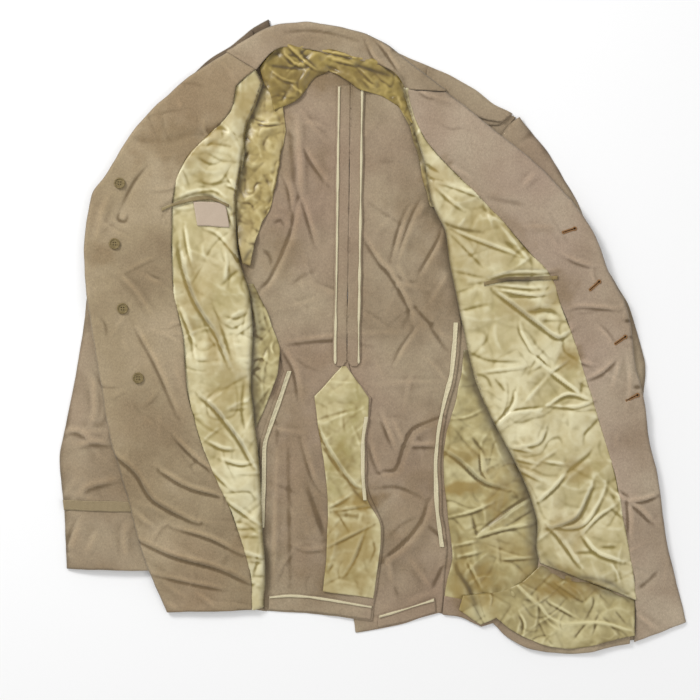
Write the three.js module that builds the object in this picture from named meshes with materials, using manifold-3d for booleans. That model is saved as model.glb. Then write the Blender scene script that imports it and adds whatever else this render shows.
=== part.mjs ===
// An officer jacket of khaki twill, part lined with satin. It lies open on its back, inside up.
// Millimetres, +Z up: the back rests on z = 0, the collar is towards +Y and the hem towards -Y.
// Right and left are the wearer's, so the right front lies at -X and the left front at +X.

import * as THREE from "three";
import { mergeVertices } from "three/addons/utils/BufferGeometryUtils.js";
import Module from "manifold-3d";

const wasm = await Module();
wasm.setup();

// ---------- named sizes ----------

const KHAKI = 1.2; // twill
const SATIN = 1.0; // lining
const TAPE = 1.0; // seam binding, label and braid
const DOUBLE = 2.4; // a lapel, collar leaf or strap: two layers of twill turned in one
const GAP = 0.3; // between layers
const SEAM = 0.5; // between neighbours at a seam
const CLEAR = 0.5; // under a panel, over the lapel or leaf that is turned beneath it

// How far round a point a piece clears what it is laid on: about half the step of the coarser grid.
const REACH = { onTape: 2, tape: 4, narrow: 6, hem: 9, strip: 12, wide: 14, lower: 18 };

const TAPE_WIDTH = 5;
const SIDE_SEAM = 1.6; // between a back and its side body
const ALLOWANCE = 18; // the centre back seam's allowance
const SLEEVE_RISE = 5.5; // how far the sleeve's hollow lifts its upper side
const SLEEVE_ACROSS = [0, 0.06, 0.16, 0.3, 0.5, 0.7, 0.84, 0.94, 1];
const BRAID_WIDTH = 14;
const BRAID_ABOVE_CUFF = 80;

const STAY_BUTTON = { radius: 7.5, height: 2.8, hole: 0.9, pitch: 1.6 }; // 24 ligne, four holes
const OUTER_BUTTON = { radius: 12.5, height: 3.4 }; // 40 ligne, plain dome
const BUTTONHOLE = { length: 17, width: 1.6, eye: 1.7 };

const COLOURS = {
  khaki: 0xa89678,
  khakiShade: 0x5a4d3e,
  satin: 0xcdc08c,
  yokeSatin: 0xbda35a,
  tape: 0xd8cda8,
  braid: 0x9c8a6b,
  button: 0x8c7b5a,
  label: 0xd9ccc8,
};

const jacket = new THREE.Group();
const panels = {};

// ---------- tables: each row is a section, each column a line of points [x, y, underside z] ----------

// A front goes from its free or rolled edge, over the seam of facing and lining, to the fold at the side.
const FRONT_RIGHT = [
  { edge: [-198, 387, 9.0], seam: [-160, 364, 9.0], fold: [-150, 347, 9.0] },
  { edge: [-245, 358, 10.5], seam: [-186, 341, 10.5], fold: [-156, 326, 8.5] },
  { edge: [-282, 326, 12.4], seam: [-190, 312, 12.0], fold: [-164, 306, 8.5] },
  { edge: [-322, 286, 12.8], seam: [-218, 279, 12.4], fold: [-174, 282, 8.5] },
  { edge: [-348, 245, 13.2], seam: [-251, 246, 12.4], fold: [-175, 244, 8.5] },
  { edge: [-366, 214, 13.6], seam: [-267, 211, 12.0], fold: [-184, 211, 8.5] },
  { edge: [-381, 198, 13.6], seam: [-272, 186, 11.6], fold: [-187, 187, 8.5] },
  { edge: [-392, 118, 13.6], seam: [-273, 116, 11.0], fold: [-184, 112, 8.0] },
  { edge: [-388, 56, 13.6], seam: [-270, 58, 11.0], fold: [-168, 58, 7.5] },
  { edge: [-379, -5, 13.6], seam: [-257, 0, 11.0], fold: [-164, 0, 7.0] },
  { edge: [-368, -68, 13.4], seam: [-253, -68, 11.0], fold: [-167, -68, 7.0] },
  { edge: [-357, -135, 12.3], seam: [-236, -135, 10.0], fold: [-159, -135, 7.0] },
  { edge: [-344, -180, 11.0], seam: [-219, -180, 9.4], fold: [-155, -180, 7.0] },
  { edge: [-331, -226, 10.4], seam: [-197, -224, 8.6], fold: [-152, -224, 7.0] },
  { edge: [-320, -269, 10.2], seam: [-182, -268, 8.0], fold: [-151, -266, 6.5] },
  { edge: [-306, -314, 10.0], seam: [-167, -312, 7.5], fold: [-147, -312, 6.0] },
  { edge: [-280, -374, 2.5], seam: [-164, -371, 4.5], fold: [-149, -367, 5.0] },
];

const FRONT_LEFT = [
  { edge: [100, 334, 9.0], seam: [48, 337, 9.0], fold: [43, 339, 9.0] },
  { edge: [133, 308, 10.5], seam: [57, 300, 10.0], fold: [53, 300, 8.5] },
  { edge: [170, 277, 12.4], seam: [73, 266, 12.0], fold: [63, 264, 8.5] },
  { edge: [208, 249, 12.6], seam: [109, 226, 12.4], fold: [75, 224, 8.5] },
  { edge: [247, 211, 12.6], seam: [151, 185, 12.4], fold: [82, 180, 8.5] },
  { edge: [283, 170, 12.0], seam: [184, 148, 12.0], fold: [100, 146, 8.5] },
  { edge: [307, 129, 11.0], seam: [214, 114, 11.0], fold: [104, 111, 8.5] },
  { edge: [320, 89, 10.0], seam: [245, 80, 10.0], fold: [111, 77, 8.0] },
  { edge: [343, 49, 9.4], seam: [256, 42, 10.0], fold: [119, 40, 8.0] },
  { edge: [352, 9, 9.2], seam: [270, 8, 10.0], fold: [125, 8, 7.5] },
  { edge: [358, -41, 9.0], seam: [288, -50, 10.0], fold: [138, -51, 7.0] },
  { edge: [370, -86, 7.5], seam: [300, -90, 10.0], fold: [154, -92, 7.0] },
  { edge: [375, -137, 6.0], seam: [314, -135, 10.0], fold: [175, -133, 7.5] },
  { edge: [388, -188, 5.0], seam: [330, -188, 10.4], fold: [204, -188, 9.0] },
  { edge: [396, -248, 3.0], seam: [340, -250, 10.4], fold: [225, -250, 9.8] },
  { edge: [405, -300, 2.5], seam: [350, -298, 10.2], fold: [225, -302, 9.6] },
  { edge: [417, -346, 1.5], seam: [358, -346, 4.5], fold: [216, -346, 5.0] },
  { edge: [427, -388, 1.0], seam: [356, -415, 1.5], fold: [206, -416, 1.5] },
];

// The left front's lining is folded over above the hem, and its lower part lies below that fold.
const LINING_FOLD_LEFT = [
  { seam: [350, -298, 11.0], fold: [224, -290, 10.6] },
  { seam: [358, -356, 5.4], fold: [228, -306, 10.6] },
];

const LINING_LOWER_LEFT = [
  { upper: [124, -352, 0], lower: [118, -371, 0] },
  { upper: [150, -350, 0], lower: [147, -390, 0] },
  { upper: [176, -345, 0], lower: [168, -381, 0] },
  { upper: [204, -335, 0], lower: [194, -401, 0] },
  { upper: [230, -309, 0], lower: [236, -419, 0] },
  { upper: [262, -321, 0], lower: [266, -424, 0] },
  { upper: [295, -334, 0], lower: [298, -419, 0] },
  { upper: [328, -347, 0], lower: [331, -410, 0] },
  { upper: [356, -358, 0], lower: [356, -405, 0] },
];

const HEM_FRONT_LEFT = [
  { upper: [98, -353, 0], lower: [96, -377, 0] },
  { upper: [122, -357, 0], lower: [120, -380, 0] },
  { upper: [147, -366, 0], lower: [148, -394, 0] },
  { upper: [170, -368, 0], lower: [164, -389, 0] },
  { upper: [190, -382, 0], lower: [182, -408, 0] },
  { upper: [214, -396, 0], lower: [208, -423, 0] },
  { upper: [242, -403, 0], lower: [238, -429, 0] },
  { upper: [270, -406, 0], lower: [270, -432, 0] },
  { upper: [298, -402, 0], lower: [300, -428, 0] },
  { upper: [328, -398, 0], lower: [328, -420, 0] },
  { upper: [352, -396, 0], lower: [350, -417, 0] },
];

// The half backs. The right one carries the vent's underlap, which lies on the left one.
const BACK_RIGHT = [
  { outer: [-240, 334, 0], mid: [-142, 394, 0], pleat: [-80, 382, 0], center: [-30, 377, 0] },
  { outer: [-227, 299, 0], mid: [-137, 350, 0], pleat: [-78, 343, 0], center: [-30, 343, 0] },
  { outer: [-205, 240, 0], mid: [-126, 270, 0], pleat: [-76, 284, 0], center: [-31, 288, 0] },
  { outer: [-191, 183, 0], mid: [-115, 201, 0], pleat: [-72, 212, 0], center: [-32, 214, 0] },
  { outer: [-188, 129, 0], mid: [-107, 133, 0], pleat: [-70, 138, 0], center: [-33, 139, 0] },
  { outer: [-180, 82, 0], mid: [-102, 72, 0], pleat: [-68, 71, 0], center: [-34, 71, 0] },
  { outer: [-149, 36, 0], mid: [-93, 17, 0], pleat: [-64, 17, 0], center: [-35, 17, 0] },
  { outer: [-127, -12, 0], mid: [-83, -17, 0], pleat: [-60, -17, 0], center: [-35.5, -17, 0] },
  { outer: [-117, -46, 0], mid: [-76, -50, 0], pleat: [-56, -49, 1.7], center: [-32, -47, 1.7] },
  { outer: [-130, -85, 0], mid: [-74, -84, 0], pleat: [-58, -84, 1.7], center: [-2, -82, 1.7] },
  { outer: [-151, -144, 0], mid: [-80, -144, 0], pleat: [-60, -144, 1.7], center: [-9, -144, 1.7] },
  { outer: [-152, -202, 0], mid: [-76, -204, 0], pleat: [-60, -204, 1.7], center: [-8, -207, 1.7] },
  { outer: [-154, -259, 0], mid: [-76, -259, 0], pleat: [-58, -259, 1.7], center: [15, -259, 1.7] },
  { outer: [-151, -304, 0], mid: [-74, -305, 0], pleat: [-54, -305, 1.7], center: [11, -305, 1.7] },
  { outer: [-145, -372, 0], mid: [-74, -377, 0], pleat: [-46, -380, 1.7], center: [-1, -386, 1.7] },
];

const BACK_LEFT = [
  { center: [-29.5, 377, 0], mid: [34, 375, 0], outer: [192, 300, 0] },
  { center: [-29.5, 343, 0], mid: [40, 323, 0], outer: [172, 275, 0] },
  { center: [-30.5, 288, 0], mid: [44, 255, 0], outer: [143, 228, 0] },
  { center: [-31.5, 214, 0], mid: [48, 187, 0], outer: [119, 177, 0] },
  { center: [-32.5, 139, 0], mid: [53, 133, 0], outer: [109, 126, 0] },
  { center: [-33.5, 71, 0], mid: [58, 71, 0], outer: [113, 71, 0] },
  { center: [-34.5, 17, 0], mid: [58, 17, 0], outer: [117, 20, 0] },
  { center: [-34.5, -17, 0], mid: [55, -17, 0], outer: [115, -12, 0] },
  { center: [-30.5, -52, 0], mid: [51, -52, 0], outer: [111, -52, 0] },
  { center: [-49, -85, 0], mid: [44, -85, 0], outer: [101, -88, 0] },
  { center: [-50, -126, 0], mid: [37, -126, 0], outer: [93, -126, 0] },
  { center: [-49, -175, 0], mid: [30, -175, 0], outer: [89, -172, 0] },
  { center: [-44, -235, 0], mid: [30, -235, 0], outer: [91, -235, 0] },
  { center: [-38, -289, 0], mid: [32, -289, 0], outer: [98, -285, 0] },
  { center: [-32, -337, 0], mid: [33, -333, 0], outer: [93, -327, 0] },
  { center: [-23, -402, 0], mid: [34, -392, 0], outer: [90, -374, 0] },
];

// The side bodies run from the backs' side seams to where the fronts hide them.
// Their first row is the backs' row of that number.
const SIDE_RIGHT = {
  first: 5,
  hidden: [
    [-197, 78], [-196, 37], [-200, -10], [-204, -46], [-206, -85],
    [-206, -144], [-204, -202], [-200, -259], [-190, -304], [-172, -368],
  ],
};

const SIDE_LEFT = {
  first: 6,
  hidden: [
    [150, 18], [158, -10], [176, -52], [196, -92], [214, -130],
    [228, -188], [231, -235], [232, -285], [248, -340], [262, -400],
  ],
};

// The collar's stand shows from the roll, where the leaf turns under, to the neck seam.
const COLLAR = [
  { roll: [-197, 389, 9.0], neck: [-159, 366, 9.0] },
  { roll: [-172, 405, 9.0], neck: [-149, 378, 8.6] },
  { roll: [-150, 418, 8.2], neck: [-140, 390, 7.6] },
  { roll: [-128, 426, 7.2], neck: [-122, 399, 6.2] },
  { roll: [-88, 429, 5.8], neck: [-90, 395, 5.2] },
  { roll: [-45, 422, 5.6], neck: [-45, 385, 5.0] },
  { roll: [-9, 413, 6.0], neck: [-15, 378, 5.4] },
  { roll: [18, 399, 7.0], neck: [13, 373, 6.4] },
  { roll: [40, 381, 8.2], neck: [30, 364, 8.2] },
  { roll: [64, 362, 9.0], neck: [38, 354, 8.8] },
  { roll: [99, 336, 9.2], neck: [46, 340, 9.2] },
];

// The half-moon of satin below the neck, and the strips that carry it down both armholes.
const YOKE = [
  { upper: [-154, 366, 5.8], lower: [-134, 309, 4.6] },
  { upper: [-144, 379, 5.8], lower: [-112, 318, 4.6] },
  { upper: [-130, 392, 5.6], lower: [-94, 332, 2.6] },
  { upper: [-101, 395, 5.4], lower: [-77, 356, 2.0] },
  { upper: [-72, 390, 5.0], lower: [-60, 364, 3.6] },
  { upper: [-43, 383, 5.0], lower: [-42, 354, 4.6] },
  { upper: [-15, 377, 5.2], lower: [-14, 337, 4.6] },
  { upper: [13, 372, 5.6], lower: [21, 326, 2.6] },
  { upper: [29, 362, 5.6], lower: [38, 312, 2.8] },
  { upper: [39, 350, 5.6], lower: [55, 292, 3.2] },
];

const ARMHOLE_RIGHT = [
  { outer: [-157, 356, 0], free: [-123, 326, 0] },
  { outer: [-172, 309, 0], free: [-119, 287, 0] },
  { outer: [-192, 275, 0], free: [-122, 258, 0] },
  { outer: [-196, 232, 0], free: [-129, 222, 0] },
  { outer: [-190, 196, 0], free: [-137, 187, 0] },
  { outer: [-187, 168, 0], free: [-150, 160, 0] },
  { outer: [-184, 132, 0], free: [-160, 130, 0] },
  { outer: [-178, 100, 0], free: [-167, 98, 0] },
];

const ARMHOLE_LEFT = [
  { free: [28, 327, 0], outer: [60, 320, 0] },
  { free: [37, 312, 0], outer: [72, 298, 0] },
  { free: [50, 293, 0], outer: [84, 268, 0] },
  { free: [55, 268, 0], outer: [92, 240, 0] },
  { free: [68, 222, 0], outer: [98, 200, 0] },
  { free: [78, 178, 0], outer: [104, 168, 0] },
];

const LINING_SIDE_RIGHT = [
  { hidden: [-184, 72, 0], free: [-163, 73, 0] },
  { hidden: [-186, 36, 0], free: [-144, 36, 0] },
  { hidden: [-186, 12, 0], free: [-136, 12, 0] },
  { hidden: [-186, -14, 0], free: [-125, -14, 0] },
  { hidden: [-186, -50, 0], free: [-129, -50, 0] },
  { hidden: [-186, -86, 0], free: [-143, -86, 0] },
  { hidden: [-184, -122, 0], free: [-158, -122, 0] },
];

const LINING_SIDE_LEFT = [
  { left: [124, -17, 0], right: [152, -14, 0] },
  { left: [121, -50, 0], right: [170, -52, 0] },
  { left: [112, -92, 0], right: [188, -92, 0] },
  { left: [101, -126, 0], right: [206, -129, 0] },
  { left: [96, -153, 0], right: [216, -160, 0] },
  { left: [96, -181, 0], right: [224, -190, 0] },
  { left: [100, -222, 0], right: [229, -228, 0] },
  { left: [105, -262, 0], right: [231, -268, 0] },
  { left: [110, -302, 0], right: [233, -308, 0] },
  { left: [100, -337, 0], right: [244, -343, 0] },
  { left: [98, -362, 0], right: [254, -388, 0] },
];

const VENT_LINING = [
  { left: [-42, -39, 0], right: [-36, -39, 0] },
  { left: [-79, -80, 0], right: [-5, -82, 0] },
  { left: [-76, -111, 0], right: [-6, -108, 0] },
  { left: [-71, -140, 0], right: [-11, -140, 0] },
  { left: [-64, -189, 0], right: [-11, -187, 0] },
  { left: [-61, -222, 0], right: [-8, -222, 0] },
  { left: [-61, -256, 0], right: [12, -254, 0] },
  { left: [-63, -290, 0], right: [11, -286, 0] },
  { left: [-65, -318, 0], right: [7, -313, 0] },
  { left: [-68, -346, 0], right: [1, -356, 0] },
];

const HEM_RIGHT = [
  { upper: [-142, -352, 0], lower: [-142, -371, 0] },
  { upper: [-112, -349, 0], lower: [-110, -373, 0] },
  { upper: [-72, -353, 0], lower: [-73, -375, 0] },
  { upper: [-40, -358, 0], lower: [-40, -379, 0] },
  { upper: [0, -365, 0], lower: [-3, -384, 0] },
];

const HEM_LEFT = [
  { upper: [8, -378, 0], lower: [7, -395, 0] },
  { upper: [30, -372, 0], lower: [32, -390, 0] },
  { upper: [56, -364, 0], lower: [58, -384, 0] },
  { upper: [84, -355, 0], lower: [86, -374, 0] },
];

// The shoulders and their straps show only as slivers past the rolled lapels.
const SHOULDER_RIGHT = [
  { rim: [-142, 433, 1.5], hidden: [-135, 396, 1.5] },
  { rim: [-165, 420, 1.5], hidden: [-150, 384, 1.5] },
  { rim: [-190, 398, 1.5], hidden: [-178, 362, 1.5] },
  { rim: [-224, 378, 1.5], hidden: [-208, 340, 1.5] },
  { rim: [-243, 360, 1.5], hidden: [-232, 330, 1.5] },
];

const SHOULDER_LEFT = [
  { rim: [32, 388, 1.5], hidden: [30, 350, 1.5] },
  { rim: [75, 370, 1.5], hidden: [70, 330, 1.5] },
  { rim: [102, 358, 1.5], hidden: [92, 318, 1.5] },
  { rim: [138, 339, 1.5], hidden: [120, 302, 1.5] },
  { rim: [164, 317, 1.5], hidden: [146, 290, 1.5] },
  { rim: [190, 305, 1.5], hidden: [172, 290, 1.5] },
];

// A sleeve runs from its head to the cuff; open is 1 where its inner edge is the armhole.
const SLEEVE_RIGHT = [
  { outer: [-262, 323, 0], inner: [-241, 312, 0], open: 1 },
  { outer: [-306, 275, 0], inner: [-206, 240, 0], open: 1 },
  { outer: [-335, 235, 0], inner: [-194, 183, 0], open: 1 },
  { outer: [-362, 180, 0], inner: [-194, 129, 0], open: 1 },
  { outer: [-382, 112, 0], inner: [-208, 71, 0], open: 0 },
  { outer: [-397, -3, 0], inner: [-224, -9, 0], open: 0 },
  { outer: [-412, -89, 0], inner: [-243, -91, 0], open: 0 },
  { outer: [-428, -163, 0], inner: [-257, -166, 0], open: 0 },
  { outer: [-421, -228, 0], inner: [-265, -231, 0], open: 0 },
  { outer: [-417, -315, 0], inner: [-268, -318, 0], open: 0 },
];

const SLEEVE_LEFT = [
  { outer: [200, 301, 0], inner: [185, 291, 0], open: 1 },
  { outer: [237, 255, 0], inner: [136, 213, 0], open: 1 },
  { outer: [259, 220, 0], inner: [121, 177, 0], open: 1 },
  { outer: [281, 182, 0], inner: [112, 128, 0], open: 1 },
  { outer: [308, 112, 0], inner: [136, 66, 0], open: 0 },
  { outer: [349, 46, 0], inner: [172, 6, 0], open: 0 },
  { outer: [373, -35, 0], inner: [208, -48, 0], open: 0 },
  { outer: [368, -95, 0], inner: [226, -100, 0], open: 0 },
  { outer: [364, -155, 0], inner: [236, -160, 0], open: 0 },
  { outer: [372, -235, 0], inner: [240, -240, 0], open: 0 },
  { outer: [376, -300, 0], inner: [240, -305, 0], open: 0 },
];

// The largest folds: soft ridges from one point to another.
const FOLDS_RIGHT = [
  { from: [-348, 80], to: [-262, -96], width: 46, rise: 3.2 },
  { from: [-304, 230], to: [-345, 172], width: 30, rise: 2.0 },
  { from: [-345, -160], to: [-238, -250], width: 44, rise: 5.0 },
  { from: [-276, -132], to: [-192, -204], width: 38, rise: 3.6 },
  { from: [-318, -275], to: [-170, -330], width: 42, rise: 4.6 },
  { from: [-270, -258], to: [-160, -297], width: 36, rise: 3.4 },
  { from: [-234, -78], to: [-170, -164], width: 28, rise: 2.2 },
];

const FOLDS_LEFT = [
  { from: [172, 214], to: [112, 60], width: 44, rise: 3.4 },
  { from: [258, 108], to: [304, 88], width: 26, rise: 1.8 },
  { from: [280, 44], to: [322, 38], width: 26, rise: 1.6 },
  { from: [150, -40], to: [268, -150], width: 46, rise: 3.4 },
  { from: [226, -268], to: [330, -296], width: 40, rise: 2.0 },
  { from: [358, -224], to: [394, -190], width: 36, rise: 3.0 },
  { from: [362, -226], to: [376, -316], width: 36, rise: 3.0 },
  { from: [190, -110], to: [306, -232], width: 42, rise: 3.2 },
];

const FOLDS_BACK_RIGHT = [
  { from: [-104, 315], to: [-112, 152], width: 46, rise: 2.6 },
  { from: [-112, 152], to: [-142, 78], width: 46, rise: 2.2 },
  { from: [-112, -150], to: [-112, -320], width: 36, rise: 2.6 },
];

const FOLDS_BACK_LEFT = [
  { from: [12, 130], to: [80, 18], width: 44, rise: 2.4 },
  { from: [94, -112], to: [26, -182], width: 44, rise: 2.8 },
  { from: [80, -238], to: [44, -318], width: 42, rise: 2.8 },
];

const LABEL = [
  { left: [-243, 184, 0], right: [-200, 184, 0] },
  { left: [-241, 167, 0], right: [-197, 167, 0] },
  { left: [-238, 152, 0], right: [-195, 150, 0] },
];

// Each inside pocket's mouth, from the facing's side or the armhole's, and how wide its jet is.
const JET_WIDTH = 7;
const POCKET_MOUTHS = {
  right: [[-287, 177], [-268, 185], [-243, 192], [-219, 194], [-194, 181]],
  left: [[150, 76], [167, 80], [185, 84], [208, 83], [230, 84], [252, 85]],
};

const STAY_BUTTONS = [
  { x: -343, y: 209 },
  { x: -350, y: 127 },
  { x: -339, y: 39 },
  { x: -318, y: -55 },
];

const BUTTONHOLES = [
  { x: 266, y: 145, turn: 18 },
  { x: 301, y: 70, turn: 42 },
  { x: 336, y: -4, turn: 35 },
  { x: 352, y: -82, turn: 26 },
];

// ---------- grids ----------

const ROWS_BETWEEN = 2; // steps between a table's rows

// Makes a grid of points from a table: a smooth line down each column, straight steps across.
function gridFrom(table, columns, across, along = ROWS_BETWEEN) {
  const lines = columns.map((column) => {
    const points = table.map((row) => new THREE.Vector3(...row[column]));
    return new THREE.CatmullRomCurve3(points, false, "centripetal");
  });
  const rowCount = (table.length - 1) * along;
  const grid = [];
  for (let row = 0; row <= rowCount; row += 1) {
    const anchors = lines.map((line) => line.getPoint(row / rowCount));
    const points = [anchors[0]];
    for (let band = 0; band < across.length; band += 1) {
      for (let step = 1; step <= across[band]; step += 1) {
        points.push(anchors[band].clone().lerp(anchors[band + 1], step / across[band]));
      }
    }
    grid.push(points);
  }
  return grid;
}

const copyGrid = (grid) => grid.map((row) => row.map((point) => point.clone()));

const columnsOf = (grid, first, last) => copyGrid(grid.map((row) => row.slice(first, last + 1)));

function raised(grid, height) {
  const result = copyGrid(grid);
  for (const row of result) {
    for (const point of row) {
      point.z += height;
    }
  }
  return result;
}

// Draws a grid's first or last column in towards the next one, to leave a seam's gap.
function drawnIn(grid, edge, distance) {
  const result = copyGrid(grid);
  const lastColumn = grid[0].length - 1;
  const at = edge === "first" ? 0 : lastColumn;
  const next = edge === "first" ? 1 : lastColumn - 1;
  for (const row of result) {
    const step = row[next].clone().sub(row[at]);
    row[at].add(step.setLength(distance));
  }
  return result;
}

// How far a table of folds lifts a point. A fold dies away to its sides and ends.
function foldLift(point, folds) {
  let lift = 0;
  for (const { from, to, width, rise } of folds) {
    const alongX = to[0] - from[0];
    const alongY = to[1] - from[1];
    const length = Math.hypot(alongX, alongY);
    const reach = ((point.x - from[0]) * alongX + (point.y - from[1]) * alongY) / length;
    const held = THREE.MathUtils.clamp(reach, 0, length);
    const nearX = from[0] + (alongX * held) / length;
    const nearY = from[1] + (alongY * held) / length;
    const away = Math.hypot(point.x - nearX, point.y - nearY) / (width / 2);
    const fade = 0.4 + 0.6 * Math.sin((Math.PI * held) / length);
    lift += away < 1 ? rise * fade * Math.cos((away * Math.PI) / 2) ** 2 : 0;
  }
  return lift;
}

function folded(grid, folds) {
  const result = copyGrid(grid);
  for (const row of result) {
    for (const point of row) {
      point.z += foldLift(point, folds);
    }
  }
  return result;
}

// The height of a panel's upper face at x, y, or null where the panel isn't.
function topAt(panel, x, y) {
  const triangle = new THREE.Triangle();
  const weights = new THREE.Vector3();
  const probe = new THREE.Vector3(x, y, 0);
  const flat = (point) => new THREE.Vector3(point.x, point.y, 0);
  for (let row = 0; row + 1 < panel.grid.length; row += 1) {
    for (let column = 0; column + 1 < panel.grid[0].length; column += 1) {
      for (const corners of cellTriangles(panel.grid, row, column)) {
        triangle.set(...corners.map(flat));
        const found = triangle.getBarycoord(probe, weights);
        if (found && Math.min(weights.x, weights.y, weights.z) >= -1e-6) {
          const heights = new THREE.Vector3(...corners.map((point) => point.z));
          return heights.dot(weights) + panel.thickness;
        }
      }
    }
  }
  return null;
}

function cellTriangles(grid, row, column) {
  const a = grid[row][column];
  const b = grid[row][column + 1];
  const c = grid[row + 1][column];
  const d = grid[row + 1][column + 1];
  return [[a, b, d], [a, d, c]];
}

// The highest face of the named panels at a point and round it.
function restingHeight(names, x, y, reach) {
  let height = 0;
  for (const name of names) {
    for (let turn = 0; turn <= 8; turn += 1) {
      const angle = (turn * Math.PI) / 4;
      const radius = turn === 8 ? 0 : reach;
      const found = topAt(panels[name], x + radius * Math.cos(angle), y + radius * Math.sin(angle));
      height = Math.max(height, found ?? 0);
    }
  }
  return height;
}

// Lays a grid on the named panels. It clears whatever lies within reach, as stiff cloth does.
function laidOn(grid, names, reach) {
  const result = copyGrid(grid);
  for (const row of result) {
    for (const point of row) {
      point.z = restingHeight(names, point.x, point.y, reach) + GAP;
    }
  }
  return result;
}

// ---------- solids ----------

function finish(geometry) {
  const index = geometry.getIndex();
  const position = geometry.getAttribute("position");
  const corners = [0, 1, 2].map(() => new THREE.Vector3());
  let volume = 0;
  for (let face = 0; face < index.count; face += 3) {
    corners.forEach((corner, at) => corner.fromBufferAttribute(position, index.getX(face + at)));
    volume += corners[0].dot(corners[1].clone().cross(corners[2])) / 6;
  }
  if (volume < 0) {
    for (let face = 0; face < index.count; face += 3) {
      const kept = index.getX(face);
      index.setX(face, index.getX(face + 1));
      index.setX(face + 1, kept);
    }
  }
  geometry.computeVertexNormals();
  return geometry;
}

// A wall of cloth: the grid is its underside, and its upper face lies a thickness above.
function wall(grid, thickness) {
  const rows = grid.length;
  const columns = grid[0].length;
  const flat = grid.flat();
  const positions = [];
  for (const height of [0, thickness]) {
    for (const point of flat) {
      positions.push(point.x, point.y, point.z + height);
    }
  }
  const lower = (row, column) => row * columns + column;
  const upper = (row, column) => lower(row, column) + flat.length;
  const indices = [];
  const quad = (a, b, d, c) => indices.push(a, b, d, a, d, c);
  for (let row = 0; row + 1 < rows; row += 1) {
    for (let column = 0; column + 1 < columns; column += 1) {
      quad(upper(row, column), upper(row, column + 1), upper(row + 1, column + 1), upper(row + 1, column));
      indices.push(lower(row, column), lower(row + 1, column + 1), lower(row, column + 1));
      indices.push(lower(row, column), lower(row + 1, column), lower(row + 1, column + 1));
    }
    const last = columns - 1;
    quad(lower(row, 0), upper(row, 0), upper(row + 1, 0), lower(row + 1, 0));
    quad(upper(row, last), lower(row, last), lower(row + 1, last), upper(row + 1, last));
  }
  for (let column = 0; column + 1 < columns; column += 1) {
    const last = rows - 1;
    quad(upper(0, column), lower(0, column), lower(0, column + 1), upper(0, column + 1));
    quad(lower(last, column), upper(last, column), upper(last, column + 1), lower(last, column + 1));
  }
  const geometry = new THREE.BufferGeometry();
  geometry.setAttribute("position", new THREE.Float32BufferAttribute(positions, 3));
  geometry.setIndex(indices);
  return finish(geometry);
}

function solidOf(geometry) {
  const bare = geometry.clone();
  bare.deleteAttribute("normal");
  bare.deleteAttribute("uv");
  const merged = mergeVertices(bare, 1e-4);
  const vertProperties = new Float32Array(merged.getAttribute("position").array);
  const triVerts = new Uint32Array(merged.getIndex().array);
  return new wasm.Manifold(new wasm.Mesh({ numProp: 3, vertProperties, triVerts }));
}

function geometryOf(solid) {
  const mesh = solid.getMesh();
  const geometry = new THREE.BufferGeometry();
  geometry.setAttribute("position", new THREE.Float32BufferAttribute(mesh.vertProperties, 3));
  geometry.setIndex(Array.from(mesh.triVerts));
  return finish(geometry);
}

function addMesh(name, geometry, colour, roughness) {
  const material = new THREE.MeshStandardMaterial({ color: COLOURS[colour], roughness, metalness: 0 });
  const mesh = new THREE.Mesh(geometry, material);
  mesh.name = name;
  jacket.add(mesh);
  return mesh;
}

function addPanel(name, grid, thickness, colour, cut = (geometry) => geometry) {
  panels[name] = { grid, thickness };
  const roughness = thickness === SATIN ? 0.35 : 0.9;
  addMesh(name, cut(wall(grid, thickness)), colour, roughness);
}

// ---------- backs, side bodies and what lies on them ----------

function addBacks() {
  const right = gridFrom(BACK_RIGHT, ["outer", "mid", "pleat", "center"], [3, 2, 2], 1);
  const left = gridFrom(BACK_LEFT, ["center", "mid", "outer"], [3, 3], 1);
  addPanel("back_right", folded(right, FOLDS_BACK_RIGHT), KHAKI, "khaki");
  addPanel("back_left", folded(left, FOLDS_BACK_LEFT), KHAKI, "khaki");
  addPanel("side_body_right", sideBody(BACK_RIGHT, SIDE_RIGHT, -SIDE_SEAM, 2), KHAKI, "khaki");
  addPanel("side_body_left", sideBody(BACK_LEFT, SIDE_LEFT, SIDE_SEAM, 3), KHAKI, "khaki");
}

// A side body begins a seam's gap outside the back's outer edge.
function sideBody(back, { first, hidden }, gap, across) {
  const rows = back.slice(first).map(({ outer: [x, y] }, at) => {
    return { seam: [x + gap, y, 0], hidden: [...hidden[at], 0] };
  });
  return gridFrom(rows, ["seam", "hidden"], [across], 1);
}

// A strip between two offsets in x from a column of a table, over the table's rows first to last.
function stripBeside(table, column, from, to, first, last) {
  const rows = table.slice(first, last + 1).map((row) => {
    const [x, y] = row[column];
    return { near: [x + from, y, 0], far: [x + to, y, 0] };
  });
  return gridFrom(rows, ["near", "far"], [1], 1);
}

function addCenterSeam() {
  const under = ["back_right", "back_left"];
  const firstRow = 1;
  const lastRow = 7;
  const sides = [
    { name: "right", table: BACK_RIGHT, sign: -1 },
    { name: "left", table: BACK_LEFT, sign: 1 },
  ];
  for (const { name, table, sign } of sides) {
    const strip = stripBeside(table, "center", sign * SEAM, sign * ALLOWANCE, firstRow, lastRow);
    const allowance = `allowance_center_${name}`;
    addPanel(allowance, laidOn(strip, under, REACH.tape), KHAKI, "khaki");
    const inner = sign * (ALLOWANCE - TAPE_WIDTH);
    const tape = stripBeside(table, "center", inner, sign * ALLOWANCE, firstRow, lastRow);
    addPanel(`tape_center_${name}`, laidOn(tape, [allowance], REACH.onTape), TAPE, "tape");
  }
}

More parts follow.
